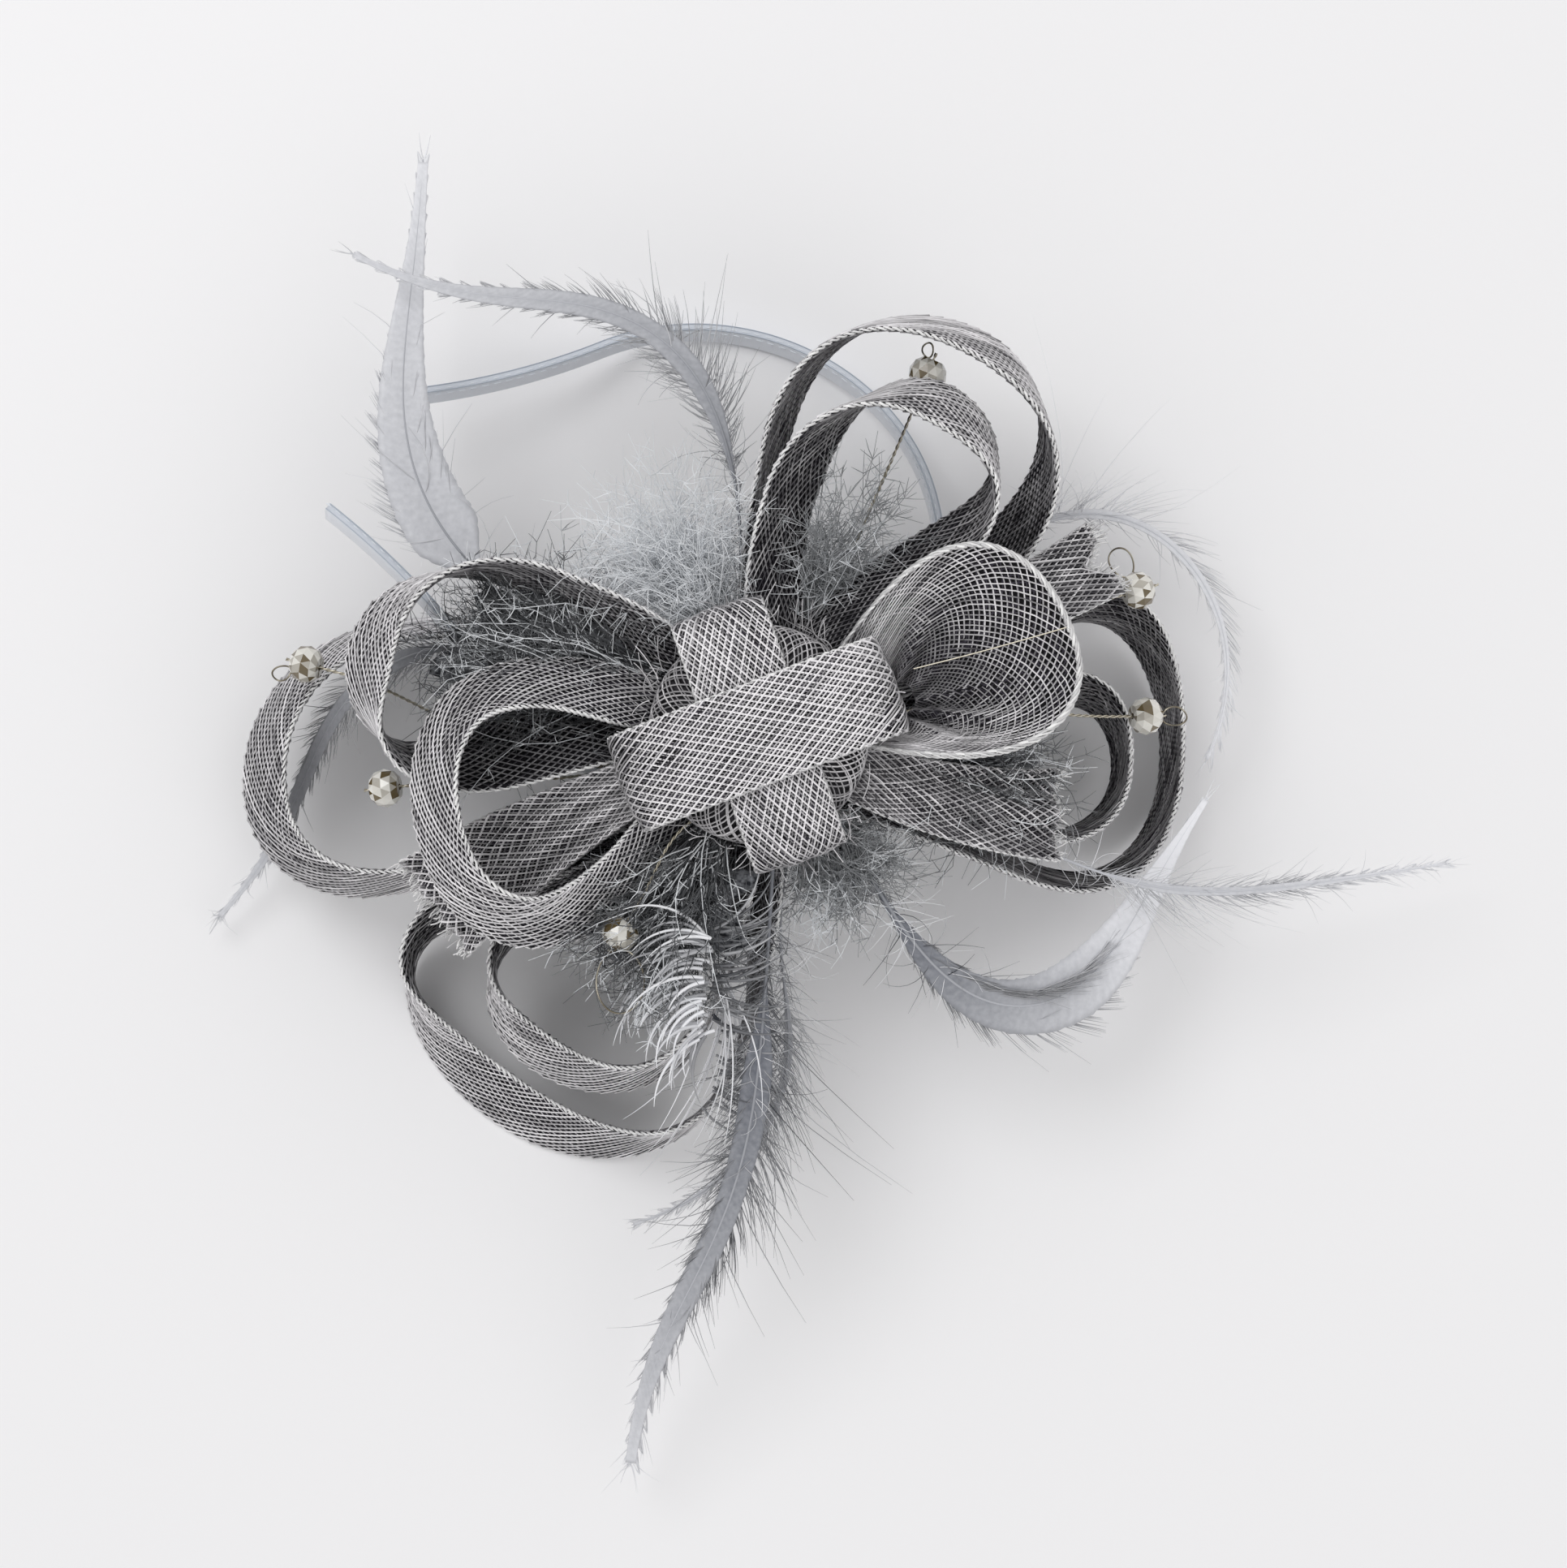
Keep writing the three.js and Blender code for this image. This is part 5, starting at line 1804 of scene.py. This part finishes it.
@dataclass
class Beads:
    """The six faceted beads and their twisted wires."""

    rows: tuple[BeadRow, ...] = (
        BeadRow("left_far", 171, 96, -21, 190, -7, -6, (2.0, 200)),
        BeadRow("left_near", 188, 78, -13, 193, -4.5, -2),
        BeadRow("low_left", 235, 49, -1, 232, 2.5, 2, (6.5, 270)),
        BeadRow("top", 65, 82, -10, 58, -14.4, -4, (1.5, 90)),
        BeadRow("right_upper", 21, 84, -15, 34, -5.6, -3, (3.2, 120)),
        BeadRow("right", 3, 81, -22, 8, -3, -3, (2.6, 0)),
    )
    diameter: float = 8.0
    length: float = 6.0
    table: float = 4.6
    first_seed: int = 120
    sides: int = 12

    def line(self, row: BeadRow) -> tuple[Array, Array, Array]:
        """A bead's wire.

        Args:
            row: The bead.

        Returns:
            Points along the wire, the bead's middle and the direction of its hole.
        """
        root = polar(row.root_turn, CORE_RADIUS + CLEARANCE, row.root_z)
        bead = polar(row.turn, row.reach, row.z)
        axis = unit(bead - root)
        side = unit(np.cross(axis, UP))
        lead = bead - axis * (self.length / 2 + 4)
        third = float(np.linalg.norm(root - lead)) / 3
        leave = root + polar(row.root_turn, third) + side * row.bow
        knots = (root, leave, lead - axis * third, lead)
        t = np.linspace(0, 1, 46)[:, None]
        shares = ((1 - t) ** 3, 3 * t * (1 - t) ** 2, 3 * t**2 * (1 - t), t**3)
        bowed = sum(knot * share for knot, share in zip(knots, shares))
        end = bead + axis * (self.length / 2 + 1.6)
        straight = lead + (end - lead) * np.linspace(0, 1, 14)[1:, None]
        return np.concatenate([bowed, straight]), bead, axis

    def bead_mesh(self, row: BeadRow, bead: Array, axis: Array, rng: Random) -> bpy.types.Object:
        """A drilled bead whose rows of facets are set half a facet apart."""
        hole, half = 0.7, self.length / 2
        side = unit(np.cross(axis, UP))
        up = np.cross(side, axis)
        flat, wide = self.table / 2, self.diameter / 2
        shoulder, rise = wide * 0.88, half * 0.62
        profile = (
            (hole, -half, 0.0), (flat, -half, 0.0), (shoulder, -rise, 0.5), (wide, 0.0, 0.0),
            (shoulder, rise, 0.5), (flat, half, 0.0), (hole, half, 0.0),
        )
        rings = []
        for radius, place, offset in profile:
            turn = 2 * np.pi * (np.arange(self.sides) + offset) / self.sides
            spokes = np.cos(turn)[:, None] * side + np.sin(turn)[:, None] * up
            rings.append(bead + axis * place + radius * spokes)
        faces, count, spins = [], self.sides, [p[2] for p in profile]
        for i in range(len(rings)):
            j = (i + 1) % len(rings)
            for k in range(count):
                n = (k + 1) % count
                a, b, c, d = i * count + k, i * count + n, j * count + n, j * count + k
                if spins[i] == spins[j]:
                    faces.append((a, b, c, d))
                elif spins[j] > spins[i]:
                    faces += [(a, b, d), (b, c, d)]
                else:
                    faces += [(a, b, c), (a, c, d)]
        inside = [all(v // count in (0, len(rings) - 1) for v in face) for face in faces]
        # Painted shade in the drilled hole; the other facets are painted reflections, picked at
        # random from light and dark tones.
        tone = np.where(inside, 0.05, rng.choice([0.0, 0.5, 0.9, 1.0, 1.0], len(faces)))
        name = f"bead_{row.name}_crystal"
        return solid_mesh(name, np.concatenate(rings), faces, CRYSTAL, {"tone": tone}, False)

    def build(self) -> None:
        """Builds each bead and its wire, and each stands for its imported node."""
        for number, row in enumerate(self.rows):
            rng = np.random.default_rng(self.first_seed + number)
            line, bead, axis = self.line(row)
            fit(self.bead_mesh(row, bead, axis, rng), "crystal", f"bead_{row.name}")
            wires = Strands()
            along = lengths_to(line)
            fine = np.linspace(0, along[-1], int(along[-1] / 0.55))
            points = read_rows(fine, along, line)
            tangent = unit(np.gradient(points, axis=0))
            side = unit(np.cross(tangent, UP))
            up = np.cross(side, tangent)
            for ply in (0.0, math.pi):
                turn = fine * 2.0 + ply
                twist = points + 0.2 * (np.cos(turn)[:, None] * side + np.sin(turn)[:, None] * up)
                # Painted light and shade: each ply is lighter where the twist brings it up and
                # darker where it turns under.
                wires.add(twist, 0.18, 0.55 + 0.3 * np.sin(turn))
            size, way = row.loop
            if size:
                ring = np.linspace(0, 2 * np.pi, 40)
                head, beside = polar(way, 1.0), polar(way + 90, 1.0)
                foot = bead + head * (self.diameter / 2 - 0.6)
                away, across = size * (1 - np.cos(ring)), size * 0.75 * np.sin(ring)
                bent = foot + head * away[:, None] + beside * across[:, None]
                bent = bent + UP * (1.2 * np.sin(ring * 2))[:, None]
                # Painted highlights at three places round the bent loop.
                wires.add(bent, 0.2, 0.35 + 0.3 * np.sin(ring * 3))
            fit(Sweep.make(f"wire_{row.name}_twist", wires, WIRE, 5), "wire", f"wire_{row.name}")


@dataclass(frozen=True)
class FanRow:
    """One fan of curled barbs along a shaft, from its foot to its end."""

    foot: Triple
    end: Triple
    headings: Pair
    turn: float
    lengths: Pair
    count: int
    tones: Pair
    girth: float


@dataclass
class LooseEnds:
    """Single threads and curled barbs that stray over the net."""

    fans: tuple[FanRow, ...] = (
        FanRow((-11, -40, 4), (-11, -62, -1), (140, 205), 75, (10, 19), 44, (0.25, 1.15), 0.38),
        FanRow((-9, -38, -3), (-9, -60, -9), (8, -38), 58, (12, 18), 26, (0.05, 0.5), 0.34),
        FanRow((-8, -58, -10), (-9, -78, -18), (-20, -45), 60, (10, 16), 26, (0.1, 0.6), 0.3),
        FanRow((-9, -46, -8), (-6, -54, -10), (-66, -96), -36, (22, 42), 16, (0.55, 1.1), 0.22),
        FanRow((-18, -44, -6), (-24, -52, -10), (205, 240), 45, (10, 17), 18, (0.3, 1.1), 0.3),
    )
    gilt: tuple[Triple, ...] = ((31, 13, 9), (43, 16, 11), (54, 19, 13), (61, 21, 14))
    yarns: int = 150

    def curled_barbs(self) -> bpy.types.Object:
        """The broad curled barbs that hook out from the plume's foot, each set along a shaft."""
        rng = np.random.default_rng(160)
        barbs = Strands()
        part = np.linspace(0, 1, 14)
        for fan in self.fans:
            onto = (np.arange(fan.count) / fan.count)[:, None]
            start, end = np.array(fan.foot), np.array(fan.end)
            root = start + (end - start) * onto + rng.normal(0, 0.9, (fan.count, 3))
            heading = between(fan.headings, onto)
            bend = fan.turn * rng.uniform(0.8, 1.2, (fan.count, 1))
            way = np.radians(heading + rng.normal(0, 11, (fan.count, 1)) + bend * part)
            step = rng.uniform(*fan.lengths, (fan.count, 1)) / 13
            rise = rng.normal(0.05, 0.15, (fan.count, 1)) + 0 * way
            tone = rng.uniform(*fan.tones, (fan.count, 1)) + 0.1 * part
            barbs.add(walked(root, way, step, rise), fan.girth * (1 - 0.85 * part**2), tone)
        return Sweep.make("curled_barbs", barbs, BARB, 4)

    def build(self) -> None:
        """Builds the curled barbs, the gilt thread over the cup and the frayed yarns."""
        fit(self.curled_barbs(), "vane")
        thread = Strands()
        part = np.linspace(0, 1, 24)
        line = np.stack([on_curve(tuple(p[i] for p in self.gilt), part) for i in range(3)], -1)
        thread.add(line, 0.16, 0.9)
        fit(Sweep.make("gilt_thread", thread, WIRE, 5), "wire")
        rng = np.random.default_rng(150)
        frays = Strands()
        count = self.yarns
        turn = rng.uniform(0, 360, count)
        level = rng.uniform(-8, 6, count)
        root = np.stack([polar(a, CORE_RADIUS + 1, z) for a, z in zip(turn, level)])
        way = np.radians(turn + rng.normal(0, 45, count))[:, None]
        way = way + rng.normal(0, 0.8, (count, 1)) * np.linspace(0, 1, 7)
        step = rng.uniform(3, 9, count)[:, None] / 6
        rise = rng.normal(0, 0.3, (count, 1)) + 0 * way
        frays.add(walked(root, way, step, rise), 0.13, rng.uniform(0.3, 1.0, (count, 1)))
        fit(Sweep.make("frayed_yarns", frays, NET_THREAD), "net")


@dataclass(frozen=True)
class Lamp:
    """One soft round lamp, in metres and watts."""

    name: str
    spot: Triple
    size: float
    power: float


@dataclass
class Studio:
    """The pale table, the soft light and the camera straight over the cluster."""

    table: str = "#f4f4f6"
    height: float = 0.700
    beside: Pair = (0.005, -0.010)
    across: float = 0.3476
    aim: Triple = (0.0, 0.0, 0.03)
    sensor: float = 36.0
    table_half: float = 3.0
    sky: str = "#fffefd"
    sky_strength: float = 0.72
    lamps: tuple[Lamp, ...] = (
        Lamp("key", (-0.5, 0.6, 1.1), 0.7, 4.2),
        Lamp("fill", (0.7, -0.5, 1.2), 1.2, 2.2),
    )

    def lay_table(self) -> None:
        """Lays a plain pale table that isn't part of the object."""
        mesh = bpy.data.meshes.new("table")
        half = self.table_half
        corners = [(-half, -half, 0), (half, -half, 0), (half, half, 0), (-half, half, 0)]
        mesh.from_pydata(corners, [], [(0, 1, 2, 3)])
        mesh.materials.append(Fibre("matt_tabletop", self.table, self.table, 0.7).material())
        made = bpy.data.objects.new("table", mesh)
        bpy.context.scene.collection.objects.link(made)

    def light(self) -> None:
        """Lights the table from all round, with a soft lamp up left and a weaker one opposite."""
        world = bpy.data.worlds.new("studio")
        world.use_nodes = True
        sky = world.node_tree.nodes["Background"].inputs
        sky["Color"].default_value = linear(self.sky)
        sky["Strength"].default_value = self.sky_strength
        bpy.context.scene.world = world
        bpy.context.scene.view_settings.view_transform = "Standard"
        for row in self.lamps:
            lamp = bpy.data.lights.new(row.name, "AREA")
            lamp.shape = "DISK"
            lamp.size = row.size
            lamp.energy = row.power
            made = bpy.data.objects.new(row.name, lamp)
            made.location = row.spot
            aim = np.array(self.aim) - np.array(row.spot)
            made.rotation_euler = Vector(aim).to_track_quat("-Z", "Y").to_euler()
            bpy.context.scene.collection.objects.link(made)

    def set_camera(self) -> None:
        """Sets the camera straight down, at the photograph's distance and width."""
        data = bpy.data.cameras.new("overhead")
        data.sensor_width = self.sensor
        data.lens = self.sensor * self.height / self.across
        made = bpy.data.objects.new("overhead", data)
        over = [middle + beside for middle, beside in zip(PLACE.middle, self.beside)]
        made.location = (*over, self.height)
        bpy.context.scene.collection.objects.link(made)
        bpy.context.scene.camera = made

    def build(self) -> None:
        """Sets up the table, the light and the camera."""
        self.lay_table()
        self.light()
        self.set_camera()


def main() -> None:
    """Builds the fascinator's pieces in order, then the studio round them."""
    logging.basicConfig(level=logging.INFO, format="%(name)s %(message)s")
    Headband().build()
    Core().build()
    Loops().build()
    bright = {"slot": "net_light", "cell": 2.8, "across": 12, "thread": 0.26, "layers": 2}
    strips = (
        Wrap("wrap_cross", turn=109, width=19, seed=41, outer_tones=(0.85, 1.3), **bright),
        Wrap("wrap_top", turn=21, layer=1, seed=42, outer_tones=(0.95, 1.35), **bright),
        Cup("net_cup", slot="net_light", cell=2.4, across=24, thread=0.18, seed=43, columns=25,
            outer_tones=(0.35, 0.85), inner_tones=(0.35, 0.9)),
        Tail("tail_pleated", turn=201.5, heading=203, bend=14, run=54, root_z=1.7, droop=10,
             widths=(8, 24), folds=3, fold_depth=3.5, tilt=4, seed=44, columns=43, pitch=1.3,
             outer_tones=(0.8, 1.25), inner_tones=(0.7, 1.1), **bright),
        Tail("tail_notched", turn=20, heading=29, run=58, root_z=-3.6, droop=4, widths=(8, 16),
             notch=5, seed=45, columns=31, inner_tones=(0.4, 0.8), **bright),
        Tail("tail_under", turn=-20, heading=-24, bend=22, run=42, root_z=1, droop=11,
             widths=(11, 19), folds=2, fold_depth=3, tilt=-6, seed=46, columns=31, pitch=1.5,
             inner_tones=(0.3, 0.9), **bright),
    )
    for strip in strips:
        strip.build()
    Feathers().build()
    Tufts().build()
    Beads().build()
    LooseEnds().build()
    Studio().build()


if __name__ == "__main__":
    main()
